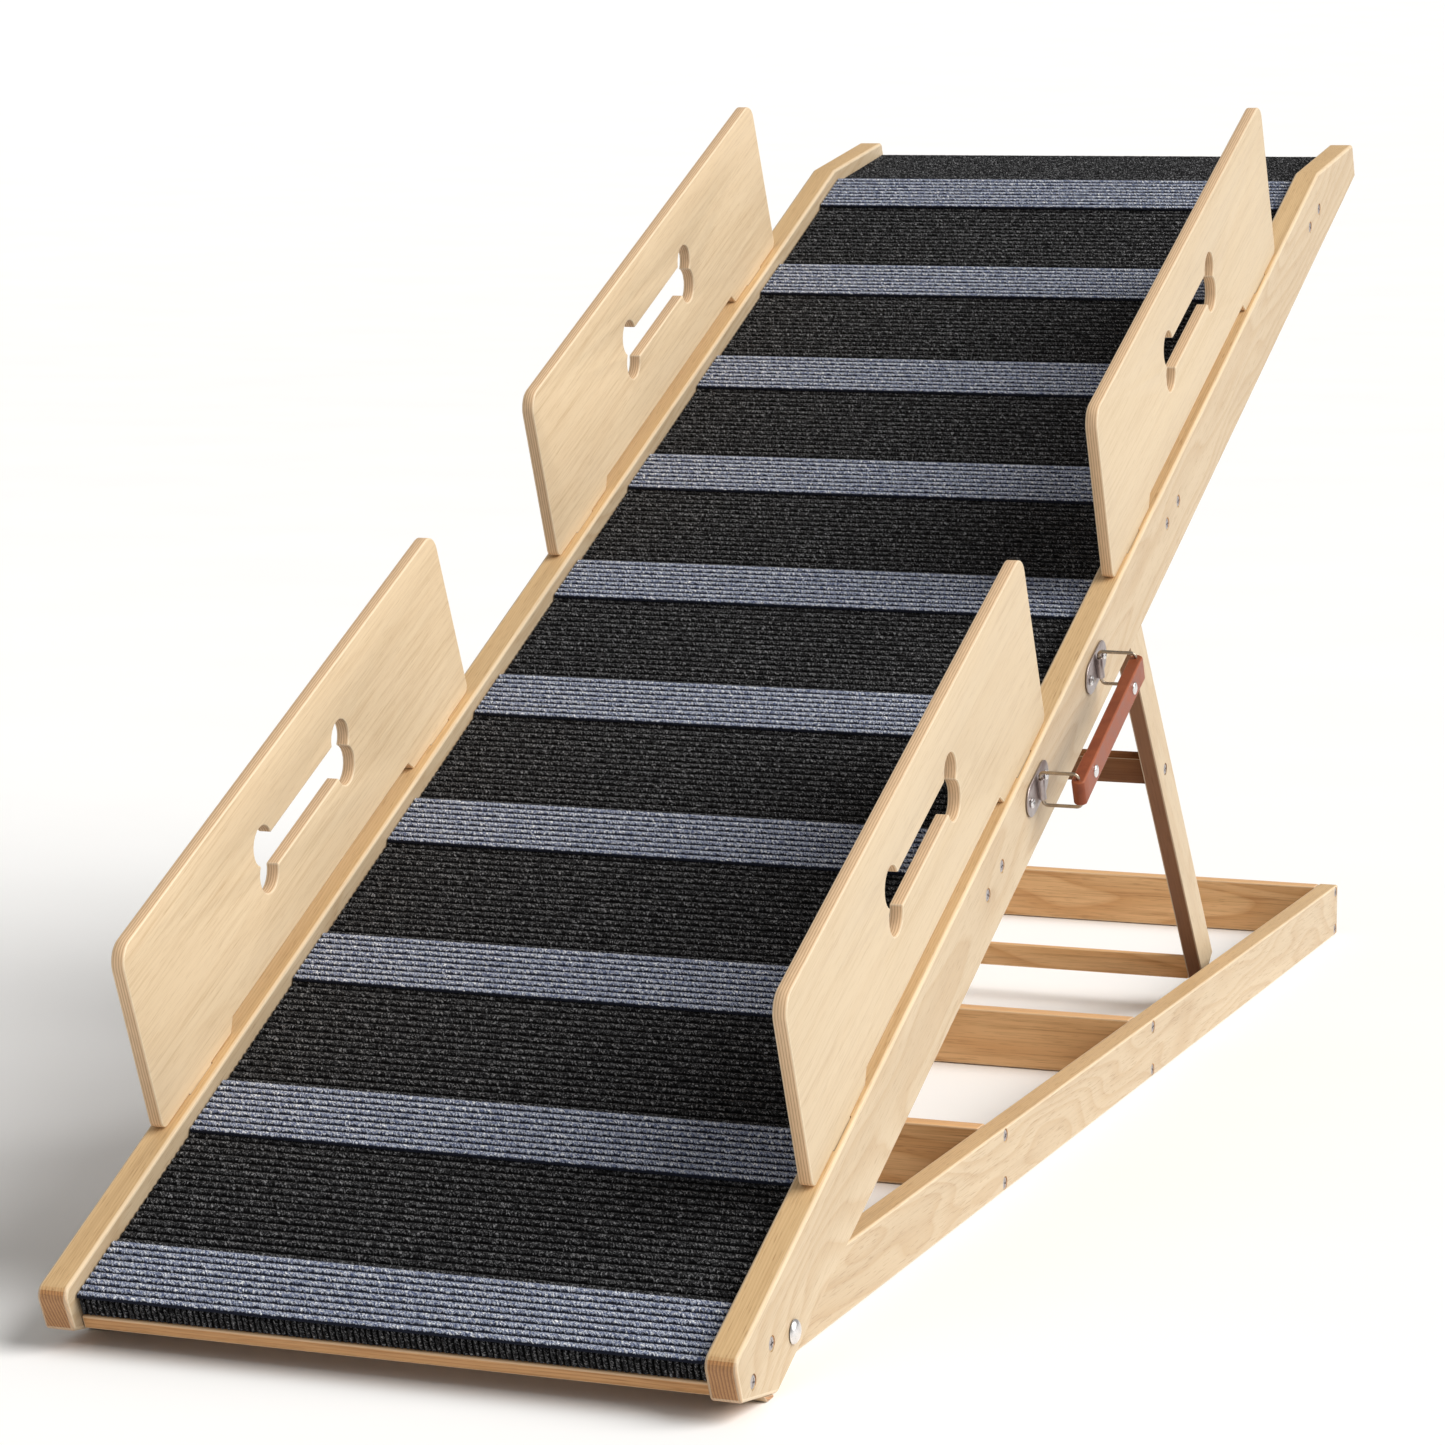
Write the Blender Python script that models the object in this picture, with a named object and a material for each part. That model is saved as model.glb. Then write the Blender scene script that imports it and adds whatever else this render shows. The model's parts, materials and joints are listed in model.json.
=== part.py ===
"""Folding wooden dog ramp with guard panels, a carpeted deck, a support leg and a carry strap.

The ramp frame turns on two hinge bolts at the low end of a floor frame, and a leg frame under the
ramp's middle holds it up.  Everything on the ramp is laid out in ramp coordinates: x across, u up
the slope from the nose, w above the line of the side rails' top edges.  Metres, +Z up; the world
origin is on the floor, under the middle of the base frame's middle slat.
"""

from math import asin, atan2, cos, degrees, pi, radians, sin, sqrt, tan

import bmesh
import bpy
from mathutils import Vector

# ------------------------------------------------------------------ driving dimensions
GAP = 0.0004                 # clearance kept between pieces that touch
PLAY = 0.0003                # a bore's radius is this much larger than its bolt, pin or wire
OVERCUT = 0.010              # cutting shapes run this far past the faces that they cut
RAMP_ANGLE = radians(24.84)  # slope of the ramp as it stands
RAMP_WIDTH = 0.400
RAMP_LENGTH = 1.490

RAIL_T = 0.018               # ramp side rails
RAIL_D = 0.056
RAIL_IN = RAMP_WIDTH / 2 - RAIL_T
RAIL_END_R = 0.002           # eased upper corner at the rail's top end
BEND_U = 1.377               # the landing starts here and is less steep than the ramp
LANDING_ANGLE = radians(14.4)
NOSE_FLAT = 0.026            # height of the square part of the nose
NOSE_CUT_U = 0.0435          # where the nose's lower cut meets the rail's lower edge
NOSE_R = 0.007               # rounded top corner of the nose

BOARD_TOP = -0.0136          # deck board, under the carpet
BOARD_T = 0.0084
LANDING_BOARD_U = BEND_U + 0.0025
SLAT_TOP = BOARD_TOP - BOARD_T
SLAT_T = 0.0090
SLAT_W = 0.056
SLAT_U = (0.0368, 0.473, 0.912, 1.350)
CARPET_T = 0.0028
CARPET_EDGE = 0.0010         # chamfer where the carpet turns down over the board's front
CARPET_SIDE = 0.0010         # from the carpet's sides to the rails
DECK_START = 0.0085
DECK_END = RAMP_LENGTH - 0.0045
STRIP_START = DECK_START + 0.0003
STRIP_COUNT = 10
STRIP_PITCH = 0.1471
STRIP_W = 0.0482
STRIP_T = 0.0022
STRIP_EDGE_R = 0.0008

PAD_L = 0.012                # toe pads under the noses
PAD_SIDE = 0.002             # from a pad's sides to the rail's faces
PAD_TAPER = (0.003, 0.0008)  # how much shorter its foot is, at the front and at the rear

HINGE_U = 0.0765             # hinge bolt axis, in ramp coordinates
HINGE_W = -0.0415
HINGE_Z = 0.02905            # its height above the floor
BOLT_R = 0.004
BOLT_HEAD_R = 0.0068
BOLT_HEAD_L = 0.0034
BOLT_TAIL = 0.0075           # how far the bolt reaches past the base rail's inner face
NUT_R = 0.0072               # to the corners of the hexagon
NUT_SPAN = (0.0055, GAP)     # the nut's faces, measured from the base rail's inner face

BASE_IN = 0.1659             # inner faces of the base rails
BASE_T = 0.015
BASE_H = 0.0398
MID_SLAT_Y = 0.8690          # distances back from the nose, along the floor
FRONT_SLAT_Y = 0.5204
BASE_END_Y = 1.4410
BASE_SLAT_T = 0.015
HINGE_Y = 0.0773
BASE_TIP_Y = HINGE_Y - 0.0150
BASE_TIP_R = 0.0125          # round front end of a base rail

LEG_ANGLE = radians(51.3)    # leg's slope below the horizontal, as it stands
LEG_OUT = 0.156
LEG_T = 0.012
LEG_W = 0.030
LEG_PIVOT_U = 0.9165
LEG_PIVOT_W = -0.0485
PIVOT_BOLT_R = 0.003
LEG_LENGTH = 0.444
CROSSBAR_V = 0.2295          # middle of the leg's crossbar, down the leg
CROSSBAR_W = 0.026
FOOT_BAR_AT = (0.4384, -0.006)
FOOT_BAR_H = 0.0165          # the bar between the feet stands upright
LEG_BAR_T = 0.008
LEG_BAR_EDGE_R = 0.0010
FOOT_PIN_V = 0.4385          # pins at the leg's toes, which stand on the rests
FOOT_PIN_N = -0.0095
FOOT_PIN_R = 0.003
FOOT_PIN_END = 0.001         # from a pin's ends to the bar's inner face and the base rail
REST_L = 0.046               # rests on the base rails' inner faces, under the pins
REST_REAR = 0.001            # from a pin's axis to the rest's rear end
REST_SIDE = 0.0008           # from a rest to the leg bar beside it
BRACKET_T = 0.0015           # steel brackets under the upper deck slat, for the leg's pivot bolts
BRACKET_EAR_R = 0.0085
BRACKET_FLANGE = (0.020, 0.036)
PIVOT_NUT = (0.0030, 0.0062) # thickness and radius of the pivot bolt's inner collar
PIVOT_HEAD = (0.0030, 0.0055, 0.0050)

GUARD_X = 0.1925
GUARD_T = 0.0082
GUARD_LENGTH = 0.468
GUARD_H = 0.120
GUARD_CENTRES = (0.3760, 1.0120)
GUARD_CORNER_R = 0.013
GUARD_TOE_R = 0.005
GUARD_TAPER = 0.0025         # a guard is this much shorter at the top, at each end
FOOT_GAP = 0.282             # shallow gap between a guard's two feet
FOOT_GAP_H = 0.0075
FOOT_GAP_SLANT = 0.006
TAB_L = 0.030                # tongues that plug into the rail
TAB_D = 0.014
TAB_X = 0.184                # from the guard's middle to a tongue's middle
MORTISE_PLAY = 0.0005
BONE_W = 0.0655              # bone-shaped cut-out
BONE_LOBE_U = 0.058
BONE_LOBE_W = 0.0095
BONE_LOBE_R = 0.012
BONE_BAR = 0.011

PLATE_U = (0.5665, 0.7070)   # handle plates on the right rail
HANDLE_W = -0.0215
PLATE_L = 0.047
PLATE_H = 0.021
PLATE_T = 0.0012
PLATE_SCREW_U = 0.0160       # from the plate's middle to a screw
LOOP_R = 0.0024              # loop of sheet that holds the ring's wire
LOOP_L = 0.0145
LOOP_SINK = 0.0004           # how deep the loop sits in the plate
RING_R = 0.0011
RING_H = 0.0235
RING_REACH = 0.0240
RING_CORNER_R = 0.0030
STRAP_H = 0.0165
STRAP_T = 0.0080
STRAP_LAP = 0.0004           # extra thickness of the leather where it turns round a wire
STRAP_FLAP = 0.030           # from a wire to the end of the flap folded round it
STRAP_BORE_PLAY = 0.0004
RIVET_U = 0.0225             # from a wire to the rivet
RIVET_R = 0.0016
RIVET_HEAD = (0.0040, 0.0036, 0.0012)
RIVET_TAIL = (0.0036, 0.0034, 0.0008)

X_AXIS = Vector((1, 0, 0))


# ------------------------------------------------------------------ materials
def make_material(name, colour, roughness, metallic=0.0):
    material = bpy.data.materials.new(name)
    material.use_nodes = True
    shader = material.node_tree.nodes["Principled BSDF"]
    shader.inputs["Base Color"].default_value = (*colour, 1.0)
    shader.inputs["Roughness"].default_value = roughness
    shader.inputs["Metallic"].default_value = metallic
    return material


# ------------------------------------------------------------------ mesh helpers
def add_object(name, bm, parent, material, location=(0, 0, 0)):
    bmesh.ops.recalc_face_normals(bm, faces=bm.faces)
    mesh = bpy.data.meshes.new(name)
    bm.to_mesh(mesh)
    bm.free()
    mesh.materials.append(material)
    obj = bpy.data.objects.new(name, mesh)
    bpy.context.scene.collection.objects.link(obj)
    obj.parent = parent
    obj.location = location
    return obj


def add_empty(name, location, tilt=0.0, parent=None):
    empty = bpy.data.objects.new(name, None)
    bpy.context.scene.collection.objects.link(empty)
    empty.parent = parent
    empty.location = location
    empty.rotation_euler = (tilt, 0, 0)
    return empty


def add_box(name, x_span, y_span, z_span, parent, material, bevel=0.0):
    """A block between the given spans, with its origin at its middle."""
    spans = (x_span, y_span, z_span)
    size = [high - low for low, high in spans]
    middle = [(high + low) / 2 for low, high in spans]
    bm = bmesh.new()
    bmesh.ops.create_cube(bm, size=1.0)
    bmesh.ops.scale(bm, vec=size, verts=bm.verts)
    obj = add_object(name, bm, parent, material, middle)
    if bevel:
        round_edges(obj, bevel)
    return obj


def extruded(points, axis, low, high):
    """A closed prism: the outline `points` in the plane across `axis`, from low to high along it."""
    bm = bmesh.new()

    def place(point, height):
        a, b = point
        return {"x": (height, a, b), "y": (a, height, b), "z": (a, b, height)}[axis]

    base = [bm.verts.new(place(point, low)) for point in points]
    face = bm.faces.new(base)
    grown = bmesh.ops.extrude_face_region(bm, geom=[face])
    verts = [item for item in grown["geom"] if isinstance(item, bmesh.types.BMVert)]
    step = Vector(place((0, 0), high - low))
    bmesh.ops.translate(bm, vec=step, verts=verts)
    return bm


def round_edges(obj, width, segments=2):
    bevel = obj.modifiers.new("rounded_edges", "BEVEL")
    bevel.width = width
    bevel.segments = segments
    bevel.limit_method = "ANGLE"
    bevel.angle_limit = radians(50)
    return bevel


def combine(obj, name, bm, operation):
    """Cuts a hidden helper shape from obj or joins it on; bm is in obj's own coordinates."""
    helper = add_object(name, bm, obj.parent, obj.data.materials[0], obj.location)
    helper.hide_render = True
    helper.display_type = "WIRE"
    boolean = obj.modifiers.new(name, "BOOLEAN")
    boolean.operation = operation
    boolean.solver = "EXACT"
    boolean.object = helper


def cut_with(obj, name, bm):
    combine(obj, name, bm, "DIFFERENCE")


def join_with(obj, name, bm):
    combine(obj, name, bm, "UNION")


def arc(centre, radius, start, end, steps):
    """Points on a circular arc; angles in degrees, counter-clockwise when end > start."""
    span = radians(end - start)
    points = []
    for i in range(steps + 1):
        angle = radians(start) + span * i / steps
        points.append((centre[0] + radius * cos(angle), centre[1] + radius * sin(angle)))
    return points


def rod_along_x(bm, radius, low, high, sides=20, centre=(0.0, 0.0)):
    outline = arc(centre, radius, 0, 360 - 360 / sides, sides - 1)
    rod = extruded(outline, "x", low, high)
    mesh = bpy.data.meshes.new("rod")
    rod.to_mesh(mesh)
    rod.free()
    bm.from_mesh(mesh)
    bpy.data.meshes.remove(mesh)


def stepped_rod(sections, sides=20):
    """One solid turned about X: sections are (x, radius) pairs; radius 0 closes an end."""
    bm = bmesh.new()
    profile = [bm.verts.new((x, radius, 0.0)) for x, radius in sections]
    edges = [bm.edges.new(pair) for pair in zip(profile, profile[1:])]
    bmesh.ops.spin(bm, geom=profile + edges, cent=(0, 0, 0), axis=X_AXIS, angle=2 * pi,
                   steps=sides, use_merge=True, use_duplicate=False)
    bmesh.ops.remove_doubles(bm, verts=bm.verts, dist=1e-6)
    return bm


def shade_round(obj):
    obj.data.shade_smooth()
    obj.data.set_sharp_from_angle(angle=radians(40))


def both_sides():
    return (("left", -1), ("right", 1))


def span_on(side, near, far):
    """An x span given as distances from the centre plane, on the left (-1) or right (1)."""
    return tuple(sorted((side * near, side * far)))


# ------------------------------------------------------------------ base frame
def build_base(root, wood):
    for side_name, side in both_sides():
        x_low, x_high = span_on(side, BASE_IN, BASE_IN + BASE_T)
        tip = arc((BASE_TIP_Y + BASE_TIP_R, BASE_H - BASE_TIP_R), BASE_TIP_R, 90, 180, 6)
        tip += arc((BASE_TIP_Y + BASE_TIP_R, BASE_TIP_R), BASE_TIP_R, 180, 270, 6)
        outline = [(BASE_END_Y, 0.0), (BASE_END_Y, BASE_H)] + tip
        rail = add_object("base_rail_" + side_name, extruded(outline, "x", x_low, x_high), root, wood)
        hole = bmesh.new()
        rod_along_x(hole, BOLT_R + PLAY, x_low - OVERCUT, x_high + OVERCUT, centre=(HINGE_Y, HINGE_Z))
        cut_with(rail, "base_hinge_hole_" + side_name, hole)
    slats = (
        ("base_slat_front", FRONT_SLAT_Y),
        ("base_slat_middle", MID_SLAT_Y),
        ("base_slat_rear", BASE_END_Y - BASE_SLAT_T / 2),
    )
    reach = BASE_IN - GAP
    for name, centre in slats:
        y_span = (centre - BASE_SLAT_T / 2, centre + BASE_SLAT_T / 2)
        add_box(name, (-reach, reach), y_span, (0.0, BASE_H - GAP), root, wood)


# ------------------------------------------------------------------ ramp frame
def rail_outline():
    """Side view of a ramp rail in (u, w): square nose with a lower cut, and a landing at the top."""
    landing_drop = (RAMP_LENGTH - BEND_U) * tan(LANDING_ANGLE)
    points = [(0.0, -NOSE_FLAT), (NOSE_CUT_U, -RAIL_D), (RAMP_LENGTH, -RAIL_D)]
    points += [(RAMP_LENGTH, -landing_drop - RAIL_END_R), (RAMP_LENGTH - RAIL_END_R, -landing_drop)]
    points += [(BEND_U, 0.0)]
    points += arc((NOSE_R, -NOSE_R), NOSE_R, 90, 180, 5)
    return points


def build_ramp_rails(ramp, wood):
    for side_name, side in both_sides():
        x_low, x_high = span_on(side, RAIL_IN, RAMP_WIDTH / 2)
        bm = extruded(rail_outline(), "x", x_low, x_high)
        rail = add_object("ramp_rail_" + side_name, bm, ramp, wood)
        hole = bmesh.new()
        rod_along_x(hole, BOLT_R + PLAY, x_low - OVERCUT, x_high + OVERCUT, centre=(HINGE_U, HINGE_W))
        cut_with(rail, "rail_hinge_hole_" + side_name, hole)
        slots = bmesh.new()
        for centre in tab_centres():
            add_block(slots, mortise_box(side, centre))
        cut_with(rail, "rail_mortises_" + side_name, slots)


def tab_centres():
    return [middle + sign * TAB_X for middle in GUARD_CENTRES for sign in (-1, 1)]


def mortise_box(side, centre):
    half_l = TAB_L / 2 + MORTISE_PLAY
    half_t = GUARD_T / 2 + MORTISE_PLAY
    x_span = span_on(side, GUARD_X - half_t, GUARD_X + half_t)
    return x_span, (centre - half_l, centre + half_l), (-TAB_D - MORTISE_PLAY, OVERCUT)


def add_block(bm, spans):
    size = [high - low for low, high in spans]
    middle = Vector([(high + low) / 2 for low, high in spans])
    made = bmesh.ops.create_cube(bm, size=1.0)
    bmesh.ops.scale(bm, vec=size, verts=made["verts"])
    bmesh.ops.translate(bm, vec=middle, verts=made["verts"])


def landing_point(distance, height):
    """A point on the landing: distance along it from the bend, height above the landing's board."""
    bend = Vector((LANDING_BOARD_U, BOARD_TOP))
    along = Vector((cos(-LANDING_ANGLE), sin(-LANDING_ANGLE)))
    up = Vector((sin(LANDING_ANGLE), cos(LANDING_ANGLE)))
    return tuple(bend + along * distance + up * height)


def build_deck(ramp, wood, ply, carpet, strip_fabric):
    reach = RAIL_IN - GAP
    names = ("deck_slat_front", "deck_slat_lower", "deck_slat_upper", "deck_slat_top")
    for name, centre in zip(names, SLAT_U):
        u_span = (centre - SLAT_W / 2, centre + SLAT_W / 2)
        w_span = (SLAT_TOP - SLAT_T, SLAT_TOP - GAP)
        add_box(name, (-reach, reach), u_span, w_span, ramp, wood)

    board_start = DECK_START + CARPET_T + GAP
    add_box("deck_board", (-reach, reach), (board_start, BEND_U), (SLAT_TOP, BOARD_TOP), ramp, ply)
    landing_l = (DECK_END - LANDING_BOARD_U) / cos(LANDING_ANGLE)
    outline = [
        landing_point(0.0, 0.0),
        landing_point(0.0, -BOARD_T),
        landing_point(landing_l, -BOARD_T),
        landing_point(landing_l, 0.0),
    ]
    add_object("landing_board", extruded(outline, "x", -reach, reach), ramp, ply)

    skin = RAIL_IN - CARPET_SIDE
    under = BOARD_TOP + GAP
    lean = tan(LANDING_ANGLE / 2)
    outline = [
        (DECK_START, SLAT_TOP),
        (DECK_START + CARPET_T, SLAT_TOP),
        (DECK_START + CARPET_T, under),
        (LANDING_BOARD_U + GAP * lean, under),
        landing_point(landing_l, GAP),
        landing_point(landing_l, GAP + CARPET_T),
        (LANDING_BOARD_U + (GAP + CARPET_T) * lean, under + CARPET_T),
        (DECK_START + CARPET_EDGE, under + CARPET_T),
        (DECK_START, under + CARPET_T - CARPET_EDGE),
    ]
    add_object("deck_carpet", extruded(outline, "x", -skin, skin), ramp, carpet)

    top = under + CARPET_T + GAP
    for i in range(STRIP_COUNT):
        start = STRIP_START + STRIP_PITCH * i
        name = "grip_strip_{:02d}".format(i + 1)
        add_box(name, (-skin, skin), (start, start + STRIP_W), (top, top + STRIP_T), ramp, strip_fabric,
                bevel=STRIP_EDGE_R)


def floor_line(u):
    """The w at which the floor crosses ramp coordinate u, as the ramp stands."""
    return HINGE_W - (HINGE_Z + (u - HINGE_U) * sin(RAMP_ANGLE)) / cos(RAMP_ANGLE)


def nose_cut(u):
    """The w of the nose's lower cut at u."""
    return -NOSE_FLAT - (RAIL_D - NOSE_FLAT) * u / NOSE_CUT_U


def build_toe_pads(ramp, rubber):
    """Small wedges under the lowest corners of the two noses, flat on the floor."""
    rear = NOSE_CUT_U - GAP
    front = rear - PAD_L
    foot_front, foot_rear = front + PAD_TAPER[0], rear - PAD_TAPER[1]
    outline = [
        (front, nose_cut(front) - GAP),
        (rear, nose_cut(rear) - GAP),
        (foot_rear, floor_line(foot_rear)),
        (foot_front, floor_line(foot_front)),
    ]
    for side_name, side in both_sides():
        x_low, x_high = span_on(side, RAIL_IN + PAD_SIDE, RAMP_WIDTH / 2 - PAD_SIDE)
        add_object("toe_pad_" + side_name, extruded(outline, "x", x_low, x_high), ramp, rubber)


# ------------------------------------------------------------------ guard panels
def guard_outline():
    """Side view of a guard panel about its middle, in (u, w), standing on w = 0."""
    half = GUARD_LENGTH / 2
    top_half = half - GUARD_TAPER
    gap_half = FOOT_GAP / 2
    tab_low, tab_high = TAB_X - TAB_L / 2, TAB_X + TAB_L / 2
    points = []
    for sign in (1, -1):
        side = [(gap_half - FOOT_GAP_SLANT, GAP + FOOT_GAP_H), (gap_half, GAP)]
        side += [(tab_low, GAP), (tab_low, -TAB_D), (tab_high, -TAB_D), (tab_high, GAP)]
        side += arc((half - GUARD_TOE_R, GAP + GUARD_TOE_R), GUARD_TOE_R, -90, 0, 4)
        side += arc((top_half - GUARD_CORNER_R, GUARD_H - GUARD_CORNER_R), GUARD_CORNER_R, 0, 90, 7)
        if sign < 0:
            side = [(-u, w) for u, w in reversed(side)]
        points += side
    return points


def bone_outline():
    """A bone: two round lobes at each end of a bar, about (0, BONE_W)."""
    waist = -degrees(atan2(BONE_LOBE_W, sqrt(BONE_LOBE_R ** 2 - BONE_LOBE_W ** 2)))
    bar = 180 - degrees(asin((BONE_BAR - BONE_LOBE_W) / BONE_LOBE_R))
    upper = arc((BONE_LOBE_U, BONE_LOBE_W), BONE_LOBE_R, waist, bar, 14)
    lower = [(u, -w) for u, w in reversed(upper)]
    right = lower + upper[1:]
    left = [(-u, -w) for u, w in right]
    return [(u, w + BONE_W) for u, w in right + left]


def build_guards(ramp, ply):
    for side_name, side in both_sides():
        x_low, x_high = span_on(side, GUARD_X - GUARD_T / 2, GUARD_X + GUARD_T / 2)
        for level, centre in zip(("lower", "upper"), GUARD_CENTRES):
            name = "guard_" + side_name + "_" + level
            panel = extruded(guard_outline(), "x", x_low, x_high)
            guard = add_object(name, panel, ramp, ply, (0, centre, 0))
            bone = extruded(bone_outline(), "x", x_low - OVERCUT, x_high + OVERCUT)
            cut_with(guard, name + "_bone", bone)


# ------------------------------------------------------------------ hinge bolts
def build_hinge_bolts(hinge, steel):
    """A dome-headed bolt through each ramp rail and base rail, with a nut inside."""
    outer = RAMP_WIDTH / 2 + GAP
    inner = BASE_IN - BOLT_TAIL
    dome = []
    for i in range(5):
        angle = pi / 2 * i / 4
        dome.append((outer + BOLT_HEAD_L * sin(angle), BOLT_HEAD_R * cos(angle)))
    for side_name, side in both_sides():
        sections = [(inner, 0.0), (inner, BOLT_R), (outer, BOLT_R)] + dome
        sections = [(side * x, radius) for x, radius in sections]
        bolt = add_object("hinge_bolt_" + side_name, stepped_rod(sections), hinge, steel)
        shade_round(bolt)
        nut_in, nut_out = (BASE_IN - depth for depth in NUT_SPAN)
        hexagon = arc((0, 0), NUT_R, 0, 300, 5)
        nut = add_object("hinge_nut_" + side_name,
                         extruded(hexagon, "x", *span_on(side, nut_in, nut_out)), hinge, steel)
        bore = bmesh.new()
        rod_along_x(bore, BOLT_R + PLAY, *span_on(side, nut_in - OVERCUT, nut_out + OVERCUT))
        cut_with(nut, "hinge_nut_bore_" + side_name, bore)


# ------------------------------------------------------------------ support leg
def build_leg(leg, wood, steel):
    half = LEG_W / 2
    for side_name, side in both_sides():
        outline = arc((0, 0), half, 90, 270, 10) + [(LEG_LENGTH, -half), (LEG_LENGTH, half)]
        x_low, x_high = span_on(side, LEG_OUT - LEG_T, LEG_OUT)
        bar = add_object("leg_bar_" + side_name, extruded(outline, "x", x_low, x_high), leg, wood)
        holes = bmesh.new()
        rod_along_x(holes, PIVOT_BOLT_R + PLAY, x_low - OVERCUT, x_high + OVERCUT)
        pin_place = (FOOT_PIN_V, FOOT_PIN_N)
        rod_along_x(holes, FOOT_PIN_R + PLAY, x_low - OVERCUT, x_high + OVERCUT, centre=pin_place)
        cut_with(bar, "leg_holes_" + side_name, holes)
        pin_x = span_on(side, LEG_OUT - LEG_T + FOOT_PIN_END, BASE_IN - FOOT_PIN_END)
        pin = bmesh.new()
        rod_along_x(pin, FOOT_PIN_R, *pin_x)
        pin = add_object("leg_foot_pin_" + side_name, pin, leg, steel, (0, *pin_place))
        shade_round(pin)
    reach = LEG_OUT - LEG_T - GAP
    thick = (-LEG_BAR_T / 2, LEG_BAR_T / 2)
    v_span = (CROSSBAR_V - CROSSBAR_W / 2, CROSSBAR_V + CROSSBAR_W / 2)
    add_box("leg_crossbar", (-reach, reach), v_span, thick, leg, wood, bevel=LEG_BAR_EDGE_R)
    upright = add_empty("foot_bar_axis", (0, *FOOT_BAR_AT), LEG_ANGLE, leg)
    height = (-FOOT_BAR_H / 2, FOOT_BAR_H / 2)
    add_box("leg_foot_bar", (-reach, reach), thick, height, upright, wood, bevel=LEG_BAR_EDGE_R)


def foot_pin_place():
    """Centre of a foot pin, as the ramp stands: (distance back from the nose, height)."""
    up = LEG_PIVOT_W - HINGE_W
    out = LEG_PIVOT_U - HINGE_U
    pivot_y = HINGE_Y + out * cos(RAMP_ANGLE) - up * sin(RAMP_ANGLE)
    pivot_z = HINGE_Z + out * sin(RAMP_ANGLE) + up * cos(RAMP_ANGLE)
    y = pivot_y + FOOT_PIN_V * cos(LEG_ANGLE) + FOOT_PIN_N * sin(LEG_ANGLE)
    z = pivot_z - FOOT_PIN_V * sin(LEG_ANGLE) + FOOT_PIN_N * cos(LEG_ANGLE)
    return y, z


def build_leg_rests(root, wood):
    """Low cleats on the base rails' inner faces; the foot pins slide off their rear ends to fold."""
    pin_y, pin_z = foot_pin_place()
    rear = pin_y + REST_REAR
    top = pin_z - FOOT_PIN_R - GAP
    for side_name, side in both_sides():
        x_span = span_on(side, LEG_OUT + REST_SIDE, BASE_IN - GAP)
        add_box("leg_rest_" + side_name, x_span, (rear - REST_L, rear), (0.0, top), root, wood)


def build_leg_brackets(ramp, leg, steel):
    """Steel angle brackets under the upper deck slat carry the leg's pivot bolts."""
    under = SLAT_TOP - SLAT_T - GAP
    ear_in = LEG_OUT + GAP
    ear_out = ear_in + BRACKET_T
    pivot = (LEG_PIVOT_U, LEG_PIVOT_W)
    flange_w, flange_l = BRACKET_FLANGE
    nut_t, nut_r = PIVOT_NUT
    head_t, head_r, head_top_r = PIVOT_HEAD
    for side_name, side in both_sides():
        ear = [(LEG_PIVOT_U + BRACKET_EAR_R, under), (LEG_PIVOT_U - BRACKET_EAR_R, under)]
        ear += arc(pivot, BRACKET_EAR_R, 180, 360, 8)
        plate = extruded(ear, "x", *span_on(side, ear_in, ear_out))
        bracket = add_object("leg_bracket_" + side_name, plate, ramp, steel)
        flange = bmesh.new()
        flange_x = span_on(side, ear_out - flange_w, ear_out)
        flange_u = (LEG_PIVOT_U - flange_l / 2, LEG_PIVOT_U + flange_l / 2)
        add_block(flange, (flange_x, flange_u, (under - BRACKET_T, under)))
        join_with(bracket, "bracket_flange_" + side_name, flange)
        hole = bmesh.new()
        hole_x = span_on(side, ear_in - OVERCUT, ear_in + OVERCUT)
        rod_along_x(hole, PIVOT_BOLT_R + PLAY, *hole_x, centre=pivot)
        cut_with(bracket, "bracket_hole_" + side_name, hole)
        inner = LEG_OUT - LEG_T - GAP
        outer = ear_out + GAP
        sections = [(inner - nut_t, 0.0), (inner - nut_t, nut_r), (inner, nut_r), (inner, PIVOT_BOLT_R)]
        sections += [(outer, PIVOT_BOLT_R), (outer, head_r)]
        sections += [(outer + head_t, head_top_r), (outer + head_t, 0.0)]
        sections = [(side * x, radius) for x, radius in sections]
        bolt = add_object("leg_pivot_bolt_" + side_name, stepped_rod(sections, 16), leg, steel)
        shade_round(bolt)


# ------------------------------------------------------------------ carry handle
def stadium(length, height, steps=8):
    """A flat-sided oval in (u, w), longer along u."""
    radius = height / 2
    run = length / 2 - radius
    return arc((run, 0), radius, -90, 90, steps) + arc((-run, 0), radius, 90, 270, steps)


def handle_axis_x():
    return RAMP_WIDTH / 2 + GAP + PLATE_T + LOOP_R - LOOP_SINK


def build_handle(handle, steel, leather):
    face = RAMP_WIDTH / 2 + GAP
    axis_x = handle_axis_x()
    for name, centre in zip(("lower", "upper"), PLATE_U):
        oval = extruded(stadium(PLATE_L, PLATE_H), "x", face, face + PLATE_T)
        plate = add_object("handle_plate_" + name, oval, handle, steel, (0, centre, HANDLE_W))
        loop = extruded(arc((axis_x, 0), LOOP_R, 0, 360 - 360 / 16, 15), "z", -LOOP_L / 2, LOOP_L / 2)
        join_with(plate, "handle_loop_" + name, loop)
        cut_with(plate, "loop_bore_" + name, wire_bore(axis_x, 0.0, RING_R + PLAY))
        build_ring("handle_ring_" + name, handle, steel, (axis_x, centre, HANDLE_W))
        for side_name, offset in (("low", -PLATE_SCREW_U), ("high", PLATE_SCREW_U)):
            build_plate_screw("plate_screw_" + name + "_" + side_name, handle, steel,
                              (face + PLATE_T + GAP, centre + offset, HANDLE_W))
    build_strap(handle, leather, steel)


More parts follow.
